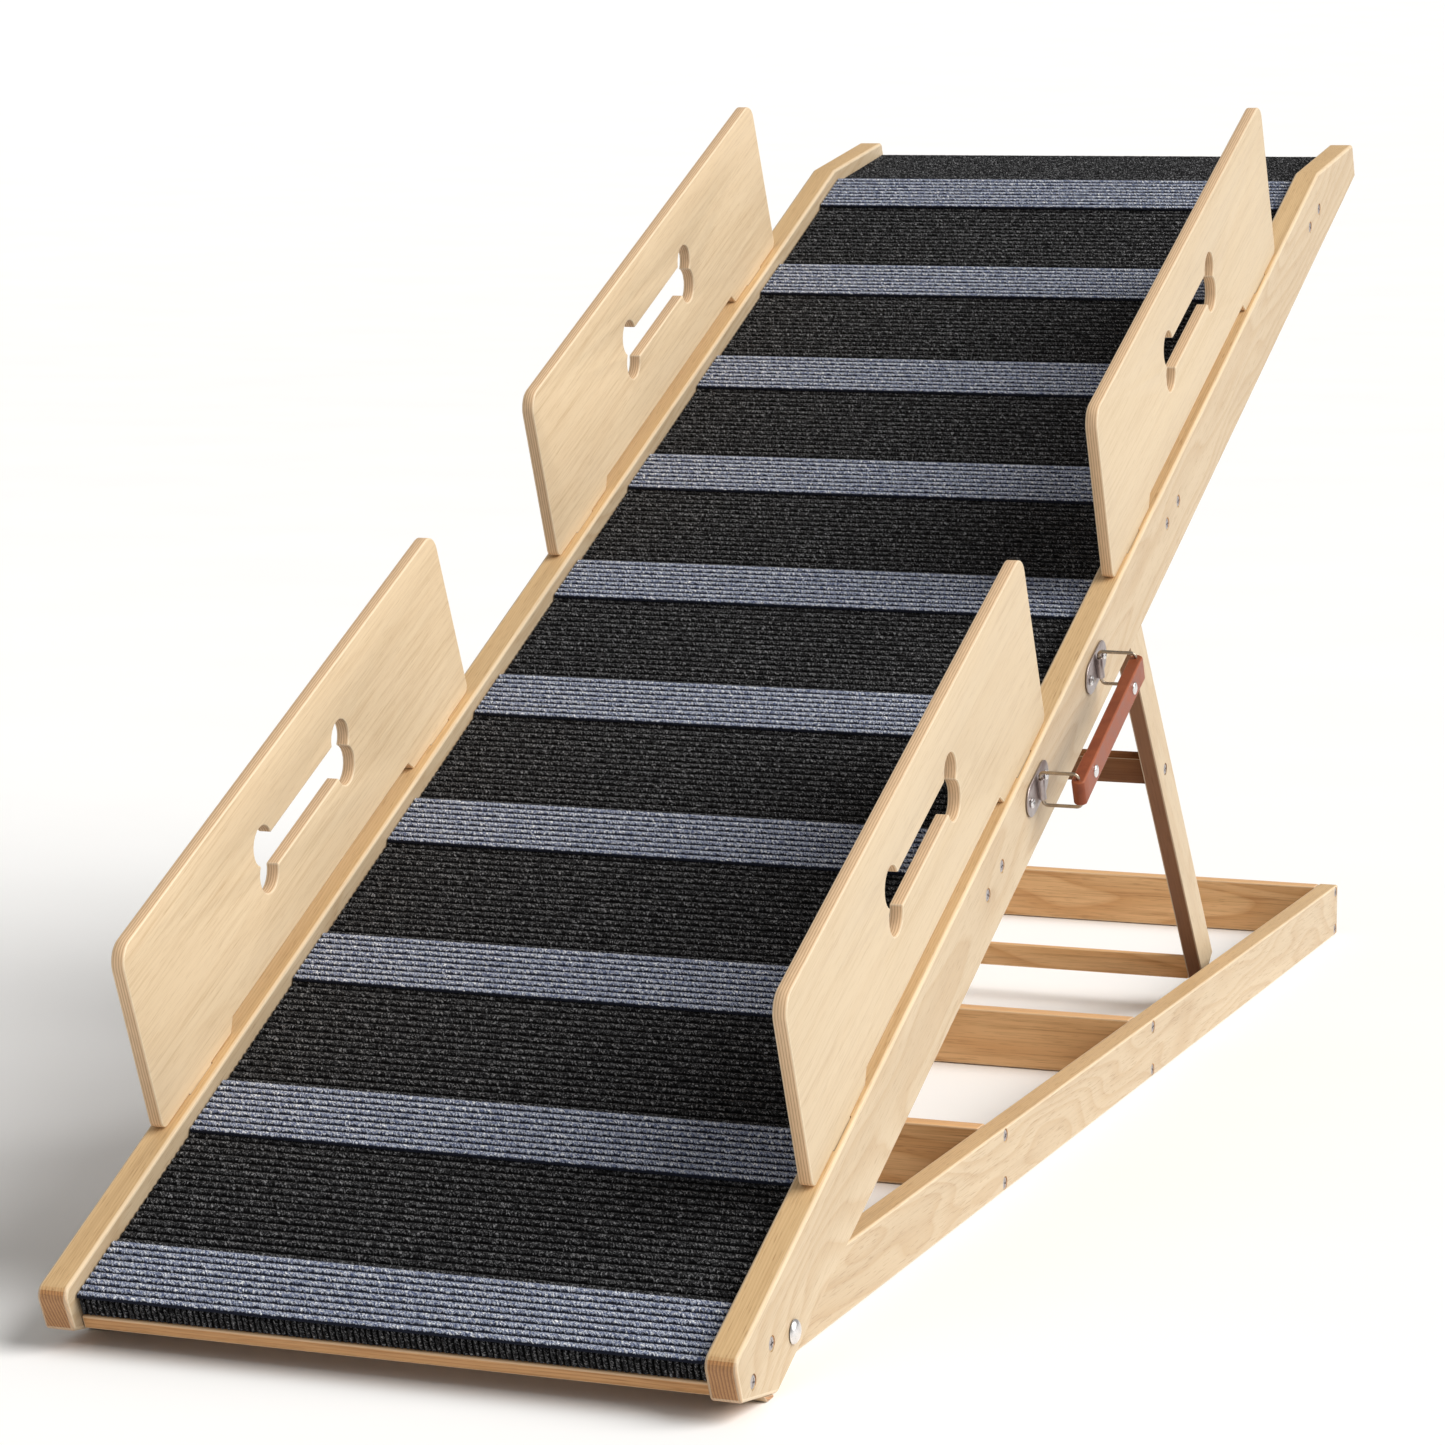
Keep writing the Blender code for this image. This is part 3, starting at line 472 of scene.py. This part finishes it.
# ------------------------------------------------------------------ mesh helpers
def finish_mesh(name, bm):
    mesh = bpy.data.meshes.new(name)
    bm.to_mesh(mesh)
    bm.free()
    obj = bpy.data.objects.new(name, mesh)
    bpy.context.scene.collection.objects.link(obj)
    return obj


def settle(obj):
    """Applies the object's modifiers to its mesh."""
    bpy.context.view_layer.update()
    graph = bpy.context.evaluated_depsgraph_get()
    mesh = bpy.data.meshes.new_from_object(obj.evaluated_get(graph), depsgraph=graph)
    obj.modifiers.clear()
    obj.data = mesh
    return obj


def on_outer_faces(edge, points):
    """True where both faces at an edge have the whole mesh behind them."""
    for face in edge.link_faces:
        heights = (points - np.array(face.verts[0].co)) @ np.array(face.normal)
        if heights.max() > 1e-5:
            return False
    return True


def round_edges(obj, width, outer_only, segments=3, sharper_than=30):
    """Rounds the sharp edges; the new faces get the face attribute `edge`."""
    bm = bmesh.new()
    bm.from_mesh(obj.data)
    bmesh.ops.remove_doubles(bm, verts=bm.verts, dist=1e-5)
    bmesh.ops.dissolve_limit(bm, angle_limit=radians(0.5), verts=bm.verts, edges=bm.edges)
    bm.normal_update()
    points = np.array([vert.co for vert in bm.verts])
    weight = bm.edges.layers.float.new("bevel_weight_edge")
    for edge in bm.edges:
        sharp = len(edge.link_faces) == 2 and edge.calc_face_angle() > radians(sharper_than)
        edge[weight] = 1.0 if sharp and (not outer_only or on_outer_faces(edge, points)) else 0.0
        edge.smooth = edge[weight] > 0 or not sharp
    for face in bm.faces:
        face.smooth = True
        face.material_index = 0
    bm.to_mesh(obj.data)
    bm.free()
    obj.data.materials.clear()
    obj.data.materials.append(None)
    obj.data.materials.append(None)
    bevel = obj.modifiers.new("rounded", "BEVEL")
    bevel.width = width
    bevel.segments = segments
    bevel.limit_method = "WEIGHT"
    bevel.use_clamp_overlap = False
    bevel.harden_normals = True
    bevel.material = 1
    settle(obj)
    marks = np.zeros(len(obj.data.polygons), np.int32)
    obj.data.polygons.foreach_get("material_index", marks)
    store(obj, "edge", "FACE", marks.astype(np.float32))
    obj.data.polygons.foreach_set("material_index", np.zeros_like(marks))
    obj.data.materials.clear()
    return obj


def store(obj, name, domain, values):
    kind, field = ("FLOAT_VECTOR", "vector") if np.ndim(values) == 2 else ("FLOAT", "value")
    attribute = obj.data.attributes.new(name, kind, domain)
    attribute.data.foreach_set(field, np.asarray(values, np.float32).ravel())


def lay_grain(obj, along, across, seed, plywood=False):
    """Stores each point's place in its board, x along the grain, and which faces are ends and sides."""
    axes = np.array((along, across, along.cross(across)))
    points = np.zeros(len(obj.data.vertices) * 3, np.float32)
    obj.data.vertices.foreach_get("co", points)
    local = points.reshape(-1, 3) @ axes.T
    local -= local.min(0)
    shift = np.random.RandomState(seed).uniform(0.0, 3.0, 3) * (1.0, 0.3, 0.0)
    store(obj, "grain", "POINT", local + shift)
    normals = np.zeros(len(obj.data.polygons) * 3, np.float32)
    obj.data.polygons.foreach_get("normal", normals)
    facing = np.abs(normals.reshape(-1, 3) @ axes.T)
    ends = 1.0 - facing[:, 2] if plywood else facing[:, 0]
    store(obj, "ends", "FACE", np.clip((ends - 0.35) / 0.4, 0.0, 1.0))
    store(obj, "sides", "FACE", np.clip((facing[:, 1] - 0.5) / 0.4, 0.0, 1.0))


def cad_copy(node, name):
    obj = bpy.data.objects.new(name, frame["nodes"][node].data.copy())
    bpy.context.scene.collection.objects.link(obj)
    return obj


def place_piece(obj, body, slot, material, *nodes):
    """Gives a piece its finish and body; nodes are the CAD nodes that it stands for."""
    obj.data.materials.clear()
    obj.data.materials.append(material)
    if nodes:
        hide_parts(*nodes)
    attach(obj, body)
    return obj


def spun(profile, sides):
    """A closed solid turned about X; profile is (x, radius) pairs and starts and ends on the axis."""
    bm = bmesh.new()
    verts = [bm.verts.new((x, radius, 0.0)) for x, radius in profile]
    edges = [bm.edges.new(pair) for pair in zip(verts, verts[1:])]
    bmesh.ops.spin(bm, geom=verts + edges, cent=(0, 0, 0), axis=ACROSS, angle=2 * pi,
                   steps=sides, use_merge=True, use_duplicate=False)
    bmesh.ops.remove_doubles(bm, verts=bm.verts, dist=1e-6)
    bmesh.ops.recalc_face_normals(bm, faces=bm.faces)
    return bm


def arc(centre, radius, start, end, steps):
    angles = np.radians(np.linspace(start, end, steps + 1))
    return [(centre[0] + radius * cos(a), centre[1] + radius * sin(a)) for a in angles]


def smooth(obj, sharp_angle=35):
    obj.data.shade_smooth()
    obj.data.set_sharp_from_angle(angle=radians(sharp_angle))
    return obj


# ------------------------------------------------------------------ wooden boards
def add_board(node, body, slot, material, along, across, edge_r, seed, outer_only=True, plywood=False):
    board = cad_copy(node, node + "_board")
    round_edges(board, edge_r, outer_only)
    cut_screw_holes(board, node)
    lay_grain(board, along, across, seed, plywood)
    return place_piece(board, body, slot, material, node)


def add_boards(wood):
    """Every wooden board, with its grain and rounded edges; wood maps each kind to its material."""
    seed = BOARD_SEED
    for side in ("left", "right"):
        # node, body, kind of wood, along the grain, across it, rounding of the edges
        boards = (
            ("ramp_rail_" + side, "ramp", "rail", ALONG, UP, 0.0020),
            ("base_rail_" + side, "base", "rail", WORLD_Y, WORLD_Z, 0.0013),
            ("leg_bar_" + side, "leg", "leg", LEG_DOWN, LEG_OVER, 0.0012),
            ("leg_rest_" + side, "base", "slat", WORLD_Y, WORLD_Z, 0.0008),
        )
        for node, body, kind, along, across, edge_r in boards:
            add_board(node, body, "light_wood", wood[kind], along, across, edge_r, seed)
            seed += 1
    slats = [("base_slat_" + name, "base", "slat", WORLD_Z, SLAT_EDGE_R)
             for name in ("front", "middle", "rear")]
    slats += [("deck_slat_" + name, "ramp", "tan", ALONG, SLAT_EDGE_R)
              for name in ("front", "lower", "upper", "top")]
    # The crossbar takes the darker copy of the slat wood, which is painted shade.
    slats.append(("leg_crossbar", "leg", "painted_shade", LEG_DOWN, LEG_BAR_EDGE_R))
    slats.append(("leg_foot_bar", "leg", "slat", WORLD_Z, LEG_BAR_EDGE_R))
    for node, body, kind, across, edge_r in slats:
        add_board(node, body, "light_wood", wood[kind], ACROSS, across, edge_r, seed)
        seed += 1
    for node in ("deck_board", "landing_board"):
        add_board(node, "ramp", "deck_plywood", wood["deck"], ACROSS, ALONG, DECK_EDGE_R, seed,
                  plywood=True)
        seed += 1
    for side in ("left", "right"):
        for level in ("lower", "upper"):
            node = "guard_" + side + "_" + level
            add_board(node, node, "guard_plywood", wood["guard_" + side], ALONG, UP, GUARD_EDGE_R, seed,
                      outer_only=False, plywood=True)
            seed += 1


# ------------------------------------------------------------------ ribbed carpet
class CarpetPath:
    """The line that a carpet's underside follows in (u, w): straight runs joined by outer corners."""

    def __init__(self, start, heading, runs, turns, depth):
        self.parts = []
        place, angle, at = Vector(start), heading, 0.0
        for index, run in enumerate(runs):
            self.parts.append(("run", at, at + run, place.copy(), angle, 0.0))
            place = place + Vector((cos(angle), sin(angle))) * run
            at += run
            if index < len(turns):
                bend = abs(turns[index]) * depth
                self.parts.append(("turn", at, at + bend, place.copy(), angle, turns[index]))
                angle += turns[index]
                at += bend
        self.length = at

    def place(self, s, height):
        for kind, low, high, start, angle, turn in self.parts:
            if s <= high + 1e-9:
                break
        if kind == "turn":
            angle += turn * (s - low) / (high - low)
            base = start
        else:
            base = start + Vector((cos(angle), sin(angle))) * (s - low)
        return base + Vector((-sin(angle), cos(angle))) * height


def loop_height(cord_x, cord_y, random):
    """Height of looped yarn, from 0 to 1, where cord_x counts loops and cord_y counts ribs."""
    number = np.floor(cord_y + 1e-6).astype(int)
    place = cord_y - number
    shift = random.uniform(0.0, 1.0, number.max() + 2)[number]
    phase = cord_x + LOOP_SLANT * place + shift
    loop = np.floor(phase).astype(int)
    tall = random.uniform(LOOP_LEAST, 1.0, (number.max() + 2, loop.max() + 2))[number, loop]
    crown = np.abs(np.sin(pi * place)) ** 0.7
    strand = np.abs(np.sin(pi * (phase - loop))) ** 0.8
    return crown * (LOOP_LEAST + (1.0 - LOOP_LEAST) * strand * tall)


def ribbed_carpet(name, path, rib, thickness, row_step, across_ribs, seed):
    """A closed sheet with ribs of yarn loops on top, running across the ramp or along the path."""
    steps = max(2, round(path.length / row_step))
    rows = np.linspace(0.0, path.length, steps + 1)
    xs = np.linspace(-CARPET_HALF, CARPET_HALF, round(2 * CARPET_HALF / (LOOP / 3)) + 1)
    columns = len(xs)
    distance, across = np.meshgrid(rows, xs + CARPET_HALF, indexing="ij")
    cords = (across / LOOP, distance / rib) if across_ribs else (distance / LOOP, across / rib)
    pile = loop_height(*cords, np.random.RandomState(seed))
    pile[0] = pile[-1] = 0.0
    height = thickness * (CARPET_FLOOR + (1.0 - CARPET_FLOOR) * pile)
    top, under = [], []
    for i, s in enumerate(rows):
        base, tip = path.place(s, 0.0), path.place(s, 1.0)
        out = tip - base
        line = np.array(on_ramp(0.0, base.x, base.y))
        normal = np.array(ALONG * out.x + UP * out.y)
        top.append(line + normal * height[i][:, None] + np.outer(xs, ACROSS))
        under += [on_ramp(-CARPET_HALF, base.x, base.y), on_ramp(CARPET_HALF, base.x, base.y)]
    index = np.arange(len(rows) * columns).reshape(-1, columns)
    quads = np.stack((index[:-1, :-1], index[:-1, 1:], index[1:, 1:], index[1:, :-1]), -1)
    faces = quads.reshape(-1, 4).tolist()
    left = [index.size + 2 * i for i in range(len(rows))]
    right = [v + 1 for v in left]
    for i in range(len(rows) - 1):
        faces.append((left[i], left[i + 1], right[i + 1], right[i]))
        faces.append((int(index[i, 0]), int(index[i + 1, 0]), left[i + 1], left[i]))
        faces.append((right[i], right[i + 1], int(index[i + 1, -1]), int(index[i, -1])))
    faces.append([left[0], right[0]] + index[0][::-1].tolist())
    faces.append([right[-1], left[-1]] + index[-1].tolist())
    mesh = bpy.data.meshes.new(name)
    mesh.from_pydata(np.concatenate(top + [np.array(under)]).tolist(), [], faces)
    mesh.update()
    obj = bpy.data.objects.new(name, mesh)
    bpy.context.scene.collection.objects.link(obj)
    rim = np.zeros((2 * len(rows), 3))
    cord = np.stack((cords[0].ravel(), cords[1].ravel(), np.zeros(index.size)), -1)
    store(obj, "cord", "POINT", np.concatenate((cord, rim)))
    # The cut ends have less pile and the rim faces none, so they show more of the painted valley shade.
    cover = np.ones_like(pile)
    cover[0] = cover[-1] = RIM_PILE
    store(obj, "pile", "POINT", np.concatenate((cover.ravel(), rim[:, 0])))
    mesh.shade_smooth()
    mesh.set_sharp_from_angle(angle=radians(80))
    return obj


def add_carpet(dark, blue):
    """Dark carpet that wraps the board's front edge, its lengths meeting under the raised strips."""
    front = DECK_START + CARPET_T
    wrap = CARPET_BASE - FRONT_WRAP_LOW
    strips = [DECK_START + STRIP_START + STRIP_PITCH * i for i in range(STRIP_COUNT)]
    middles = [start + STRIP_W / 2 for start in strips]
    bend = BEND_U + BEND_EASE
    # name, start, heading, straight runs, turns between them, ribs across the ramp
    front_runs = (wrap, middles[0] - front)
    pieces = [("carpet_front", (front, FRONT_WRAP_LOW), pi / 2, front_runs, (-pi / 2,), False)]
    for i in range(STRIP_COUNT - 1):
        low, high = middles[i] + GAP / 2, middles[i + 1] - GAP / 2
        name = "carpet_field_{:02d}".format(i + 1)
        pieces.append((name, (low, CARPET_BASE), 0.0, (high - low,), (), True))
    landing_start = (middles[-1] + GAP / 2, CARPET_BASE)
    runs = (bend - middles[-1] - GAP / 2, (DECK_END - bend) / cos(LANDING_ANGLE))
    pieces.append(("carpet_landing", landing_start, 0.0, runs, (-LANDING_ANGLE,), True))
    for i, (name, start, heading, runs, turns, ribs_across) in enumerate(pieces):
        path = CarpetPath(start, heading, runs, turns, CARPET_T)
        rib = CARPET_RIB if ribs_across else FRONT_RIB
        step = CARPET_RIB / 5 if ribs_across else FRONT_STEP
        piece = ribbed_carpet(name, path, rib, CARPET_T, step, ribs_across, CARPET_SEED + i)
        place_piece(piece, "ramp", "dark_carpet", dark, "deck_carpet")
    for i, start in enumerate(strips):
        path = CarpetPath((start, CARPET_BASE + CARPET_T + GAP), 0.0, (STRIP_W,), (), STRIP_T)
        rib = STRIP_W / STRIP_RIBS
        number = "{:02d}".format(i + 1)
        strip = ribbed_carpet("strip_" + number, path, rib, STRIP_T, rib / 6, True, STRIP_SEED + i)
        place_piece(strip, "ramp", "strip_fabric", blue, "grip_strip_" + number)


# ------------------------------------------------------------------ screws and bolts
def cross_head_mesh(radius, proud):
    """A screw head that faces +X, with a cross recess."""
    profile = [(-HEAD_DEPTH, 0.0), (-HEAD_DEPTH, radius * 0.7), (0.0, radius)]
    profile += [(proud * 0.5, radius * 0.93), (proud, radius * 0.6), (proud * 1.1, 0.0)]
    head = finish_mesh("screw_head", spun(profile, 24))
    cutters = []
    for i, (y, z) in enumerate(((RECESS_L, RECESS_W), (RECESS_W, RECESS_L))):
        bm = bmesh.new()
        bmesh.ops.create_cube(bm, size=1.0)
        bmesh.ops.scale(bm, vec=(RECESS_DEPTH, y * 2 * radius, z * 2 * radius), verts=bm.verts)
        bmesh.ops.translate(bm, vec=(proud + 0.0002, 0, 0), verts=bm.verts)
        cutter = finish_mesh("recess", bm)
        cut = head.modifiers.new("recess_{}".format(i), "BOOLEAN")
        cut.operation = "DIFFERENCE"
        cut.object = cutter
        cutters.append(cutter)
    settle(head)
    for cutter in cutters:
        bpy.data.objects.remove(cutter, do_unlink=True)
    smooth(head, 30)
    mesh = head.data
    bpy.data.objects.remove(head, do_unlink=True)
    return mesh


def add_screw(name, mesh, body, place, side, material, *nodes):
    screw = bpy.data.objects.new(name, mesh)
    bpy.context.scene.collection.objects.link(screw)
    turn = np.random.RandomState(sum(map(ord, name))).uniform(0.0, pi / 2)
    facing = Matrix.Rotation(0.0 if side > 0 else pi, 4, "Z")
    screw.matrix_world = Matrix.Translation(place) @ facing @ Matrix.Rotation(turn, 4, "X")
    return place_piece(screw, body, "steel", material, *nodes)


def screw_spots():
    """(body, board, place, side) of every wood screw."""
    spots = []
    pivot = Vector(JOINTS["leg_fold"]["pos_m"])
    for side_name, side in (("left", -1), ("right", 1)):
        for centre in DECK_SLAT_U:
            for offset in (-DECK_SCREW_OFFSET, DECK_SCREW_OFFSET):
                place = on_ramp(side * RAIL_FACE, centre + offset, DECK_SCREW_W)
                spots.append(("ramp", "ramp_rail_" + side_name, place, side))
        for y in BASE_SCREW_Y:
            for z in BASE_SCREW_Z:
                place = Vector((side * BASE_FACE, y - NOSE_TO_ORIGIN, z))
                spots.append(("base", "base_rail_" + side_name, place, side))
        place = pivot + LEG_DOWN * CROSSBAR_V + ACROSS * side * LEG_FACE
        spots.append(("leg", "leg_bar_" + side_name, place, side))
    return spots


def add_wood_screws(steel):
    mesh = cross_head_mesh(SCREW_R, SCREW_PROUD)
    for i, (body, _, place, side) in enumerate(screw_spots()):
        sunk = place - ACROSS * side * SCREW_SUNK
        add_screw("wood_screw_{:02d}".format(i + 1), mesh, body, sunk, side, steel)


def cut_screw_holes(board, node):
    """Shallow round recesses in the board for its screw heads."""
    places = [place for _, name, place, _ in screw_spots() if name == node]
    if not places:
        return
    bm = bmesh.new()
    for place in places:
        turned = Matrix.Translation(place) @ Matrix.Rotation(pi / 2, 4, "Y")
        bmesh.ops.create_cone(bm, cap_ends=True, segments=28, radius1=SCREW_HOLE_R, radius2=SCREW_HOLE_R,
                              depth=2 * SCREW_HOLE_DEPTH, matrix=turned)
    cutter = finish_mesh(node + "_cutter", bm)
    cut = board.modifiers.new("screw_holes", "BOOLEAN")
    cut.operation = "DIFFERENCE"
    cut.solver = "EXACT"
    cut.object = cutter
    settle(board)
    bpy.data.objects.remove(cutter, do_unlink=True)
    smooth(board, 50)
    shading = board.modifiers.new("flat_faces", "WEIGHTED_NORMAL")
    shading.keep_sharp = True
    shading.weight = 90
    settle(board)


def middle_of(node):
    low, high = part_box(node)
    return (low + high) / 2


def add_bolts(steel):
    for side_name, side in (("left", -1), ("right", 1)):
        node = "hinge_bolt_" + side_name
        low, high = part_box(node)
        outer = RAIL_FACE + GAP
        inner = min(abs(low.x), abs(high.x))
        rim = BOLT_HEAD_R - BOLT_DOME_R
        dome = [(outer + BOLT_DOME_H * sin(a), rim + BOLT_DOME_R * cos(a))
                for a in np.radians(range(0, 86, 10))]
        profile = [(inner, 0.0), (inner, BOLT_SHANK_R - BOLT_CHAMFER), (inner + BOLT_CHAMFER, BOLT_SHANK_R)]
        profile += [(outer, BOLT_SHANK_R), (outer, BOLT_HEAD_R - BOLT_RIM_T)]
        profile += [(outer + BOLT_RIM_T, BOLT_HEAD_R)] + dome[1:] + [(outer + BOLT_DOME_H, 0.0)]
        bolt = finish_mesh(node + "_turned", spun(profile, 48))
        centre = middle_of(node)
        bolt.matrix_world = Matrix.Translation((0, centre.y, centre.z)) @ Matrix.Rotation(
            0.0 if side > 0 else pi, 4, "Z")
        place_piece(smooth(bolt), "ramp", "steel", steel, node)
    for node, body in (("hinge_nut", "ramp"), ("leg_bracket", "ramp"), ("leg_pivot_bolt", "leg"),
                       ("leg_foot_pin", "leg")):
        for side_name in ("left", "right"):
            name = node + "_" + side_name
            piece = cad_copy(name, name + "_finished")
            round_edges(piece, METAL_EDGE_R, outer_only=True, segments=2)
            place_piece(piece, body, "steel", steel, name)


# ------------------------------------------------------------------ carry handle
def add_handle(plate_steel, wire_steel, rivet_steel, leather):
    head = cross_head_mesh(PLATE_SCREW_R, PLATE_SCREW_PROUD)
    swing = {"lower": JOINTS["handle_swing"], "upper": JOINTS["upper_ring_swing"]}
    for level in ("lower", "upper"):
        axis = Vector(swing[level]["pos_m"])
        plate = cad_copy("handle_plate_" + level, "handle_plate_" + level + "_finished")
        round_edges(plate, PLATE_EDGE_R, outer_only=False, segments=2, sharper_than=40)
        place_piece(plate, "ramp", "steel", plate_steel, "handle_plate_" + level)
        for end, offset in (("low", -PLATE_SCREW_OFFSET), ("high", PLATE_SCREW_OFFSET)):
            node = "plate_screw_" + level + "_" + end
            place = axis + ALONG * offset
            place.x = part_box(node)[0].x + PLATE_SCREW_SEAT
            add_screw(node + "_finished", head, "ramp", place, 1, rivet_steel, node)
        add_ring(level, axis, wire_steel)
    add_strap(swing, leather)
    add_rivets(rivet_steel)


def add_ring(level, axis, steel):
    """A closed rectangle of wire; one side runs inside the plate's loop."""
    reach, high, corner = RING_REACH, RING_HALF_H, RING_CORNER
    points = arc((reach - corner, high - corner), corner, 90, 0, 6)
    points += arc((reach - corner, corner - high), corner, 0, -90, 6)
    points += arc((corner, corner - high), corner, -90, -180, 6)
    points += arc((corner, high - corner), corner, 180, 90, 6)
    curve = bpy.data.curves.new("handle_wire_" + level, "CURVE")
    curve.dimensions = "3D"
    spline = curve.splines.new("POLY")
    spline.points.add(len(points) - 1)
    for target, (x, w) in zip(spline.points, points):
        target.co = (*(axis + ACROSS * x + UP * w), 1.0)
    spline.use_cyclic_u = True
    spline.use_smooth = True
    curve.bevel_depth = WIRE_R
    curve.bevel_resolution = 4
    ring = bpy.data.objects.new("handle_wire_" + level, curve)
    bpy.context.scene.collection.objects.link(ring)
    place_piece(ring, "ring_" + level, "steel", steel, "handle_ring_" + level)


def add_strap(swing, leather):
    """Leather folded round both wires, with its flaps on the side towards the rail."""
    low, high = (Vector(swing[level]["pos_m"]) for level in ("lower", "upper"))
    reach = Vector(JOINTS["strap_pivot"]["pos_m"]) - low
    half = (high - low).length / 2
    middle = (low + high) / 2 + reach
    thick, fold, flap = STRAP_HALF_T, STRAP_FOLD, half - STRAP_FLAP
    outline = []
    for sign in (1, -1):
        side = [(thick, 0.0), (thick, half - STRAP_FOLD_L)]
        side += arc((0.0, half), thick + fold, 20, 180, 14)
        side += [(-thick - fold, flap + 0.0006), (-thick - 0.0002, flap), (-thick + 0.0002, flap - 0.0005)]
        if sign < 0:
            side = [(x, -u) for x, u in reversed(side)][:-1]
        outline += side
    bm = bmesh.new()
    face = bm.faces.new([bm.verts.new((x, u, -STRAP_HALF_H)) for x, u in outline])
    grown = bmesh.ops.extrude_face_region(bm, geom=[face])
    verts = [item for item in grown["geom"] if isinstance(item, bmesh.types.BMVert)]
    bmesh.ops.translate(bm, vec=(0, 0, 2 * STRAP_HALF_H), verts=verts)
    bmesh.ops.recalc_face_normals(bm, faces=bm.faces)
    strap = finish_mesh("strap_leather", bm)
    round_edges(strap, STRAP_EDGE_R, outer_only=False, sharper_than=50)
    strap.data.transform(matrix_of(ACROSS, ALONG, UP, middle))
    place_piece(strap, "strap", "brown_leather", leather, "grip_strap")


def add_rivets(steel):
    """Domed outside, with a flat washer behind the strap."""
    for level in ("lower", "upper"):
        node = "strap_rivet_" + level
        low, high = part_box(node)
        centre = middle_of(node)
        inner, outer = low.x, high.x - RIVET_DOME_H
        dome = [(outer + RIVET_DOME_H * sin(a), RIVET_R * cos(a)) for a in np.radians(range(0, 81, 16))]
        profile = [(inner, 0.0), (inner, RIVET_BACK_R - RIVET_BACK_CHAMFER)]
        profile += [(inner + RIVET_BACK_T / 2, RIVET_BACK_R), (inner + RIVET_BACK_T, RIVET_BACK_R)]
        profile += [(inner + RIVET_BACK_T, RIVET_SHANK_R), (outer - RIVET_RIM_T, RIVET_SHANK_R)]
        profile += [(outer - RIVET_RIM_T, RIVET_R)] + dome + [(outer + RIVET_DOME_H, 0.0)]
        rivet = finish_mesh(node + "_finished", spun(profile, 32))
        rivet.location = (0, centre.y, centre.z)
        place_piece(smooth(rivet), "strap", "steel", steel, node)


def add_toe_pads(material):
    for side in ("left", "right"):
        pad = cad_copy("toe_pad_" + side, "toe_pad_" + side + "_finished")
        round_edges(pad, PAD_EDGE_R, outer_only=True, segments=2)
        lay_grain(pad, ACROSS, WORLD_Y, PAD_SEED)
        place_piece(pad, "ramp", "pad_rubber", material, "toe_pad_" + side)


# ------------------------------------------------------------------ assembly
def build():
    add_camera()
    add_lights()
    add_floor()

    # strength of the growth lines, fibres, pores and broad tone
    calm, lively = (0.28, 0.38, 0.42, 0.45), (0.72, 0.85, 0.35, 0.24)
    slat_tints = ((0.97, 0.94, 0.90), (0.85, 0.74, 0.62))
    rims = ((0.78, 0.55, 0.335), (0.50, 0.300, 0.170))
    wood = {
        # The rails' second colour is painted light on their narrow top faces.
        "rail": wood_material("pale_wood", (0.495, 0.397, 0.272), (1.35, 1.18, 0.92), (0.93, 0.61, 0.39),
                              (0.40, 0.42, 0.42, 0.55), ring_gap=RAIL_RING_GAP),
        # The leg's second colour is painted shade on the leg bars' front faces.
        "leg": wood_material("leg_wood", (0.500, 0.405, 0.280), (0.41, 0.225, 0.138), (0.80, 0.62, 0.46),
                             calm),
        "slat": wood_material("slat_wood", (0.800, 0.500, 0.245), *slat_tints, lively),
        "tan": wood_material("front_wood", (0.660, 0.385, 0.180), *slat_tints, lively),
        # Painted shade: a much darker copy of the slat wood for the leg's crossbar, which lies under the
        # ramp.
        "painted_shade": wood_material("deep_wood", (0.190, 0.086, 0.038), (0.95, 0.92, 0.88), slat_tints[1], lively,
                              shine=0.08),
        # Painted light: the left guards' plywood is paler than the right guards' to lift their faces, which
        # get less light.
        "guard_left": plywood_material("guard_ply_painted_light", (0.690, 0.540, 0.358), *rims,
                                       (0.10, 0.48, 0.22, 0.18), GUARD_T),
        "guard_right": plywood_material("guard_ply", (0.520, 0.415, 0.280), *rims,
                                        (0.10, 0.48, 0.22, 0.20), GUARD_T),
        "deck": plywood_material("deck_ply", (0.50, 0.37, 0.22), *rims, (0.30, 0.60, 0.60, 0.60), DECK_T),
    }
    # Each carpet's first colour is painted shade for the valleys between ribs and loops.
    dark = carpet_material("dark_loops", (0.0006, 0.0006, 0.0008), (0.0030, 0.0030, 0.0035),
                           (0.041, 0.0415, 0.044), (0.290, 0.292, 0.302), 0.06, 0.0)
    blue = carpet_material("blue_loops", (0.003, 0.005, 0.015), (0.066, 0.092, 0.200),
                           (0.430, 0.480, 0.610), (1.0, 1.0, 1.0), 0.22, 0.03)
    bright = steel_material("bright_steel", (0.80, 0.79, 0.79), (0.20, 0.34), (0.62, 0.60, 0.60))
    dull = steel_material("screw_steel", (0.52, 0.49, 0.49), (0.30, 0.45), (0.34, 0.31, 0.31))
    plate = steel_material("plate_steel", (0.44, 0.385, 0.375), (0.32, 0.44), (0.30, 0.25, 0.24))
    wire = steel_material("wire_steel", (0.42, 0.35, 0.28), (0.24, 0.36), (0.28, 0.22, 0.16))
    leather = leather_material("brown_leather")

    add_boards(wood)
    add_carpet(dark, blue)
    add_wood_screws(dull)
    add_bolts(bright)
    add_handle(plate, wire, bright, leather)
    add_toe_pads(wood["rail"])


build()
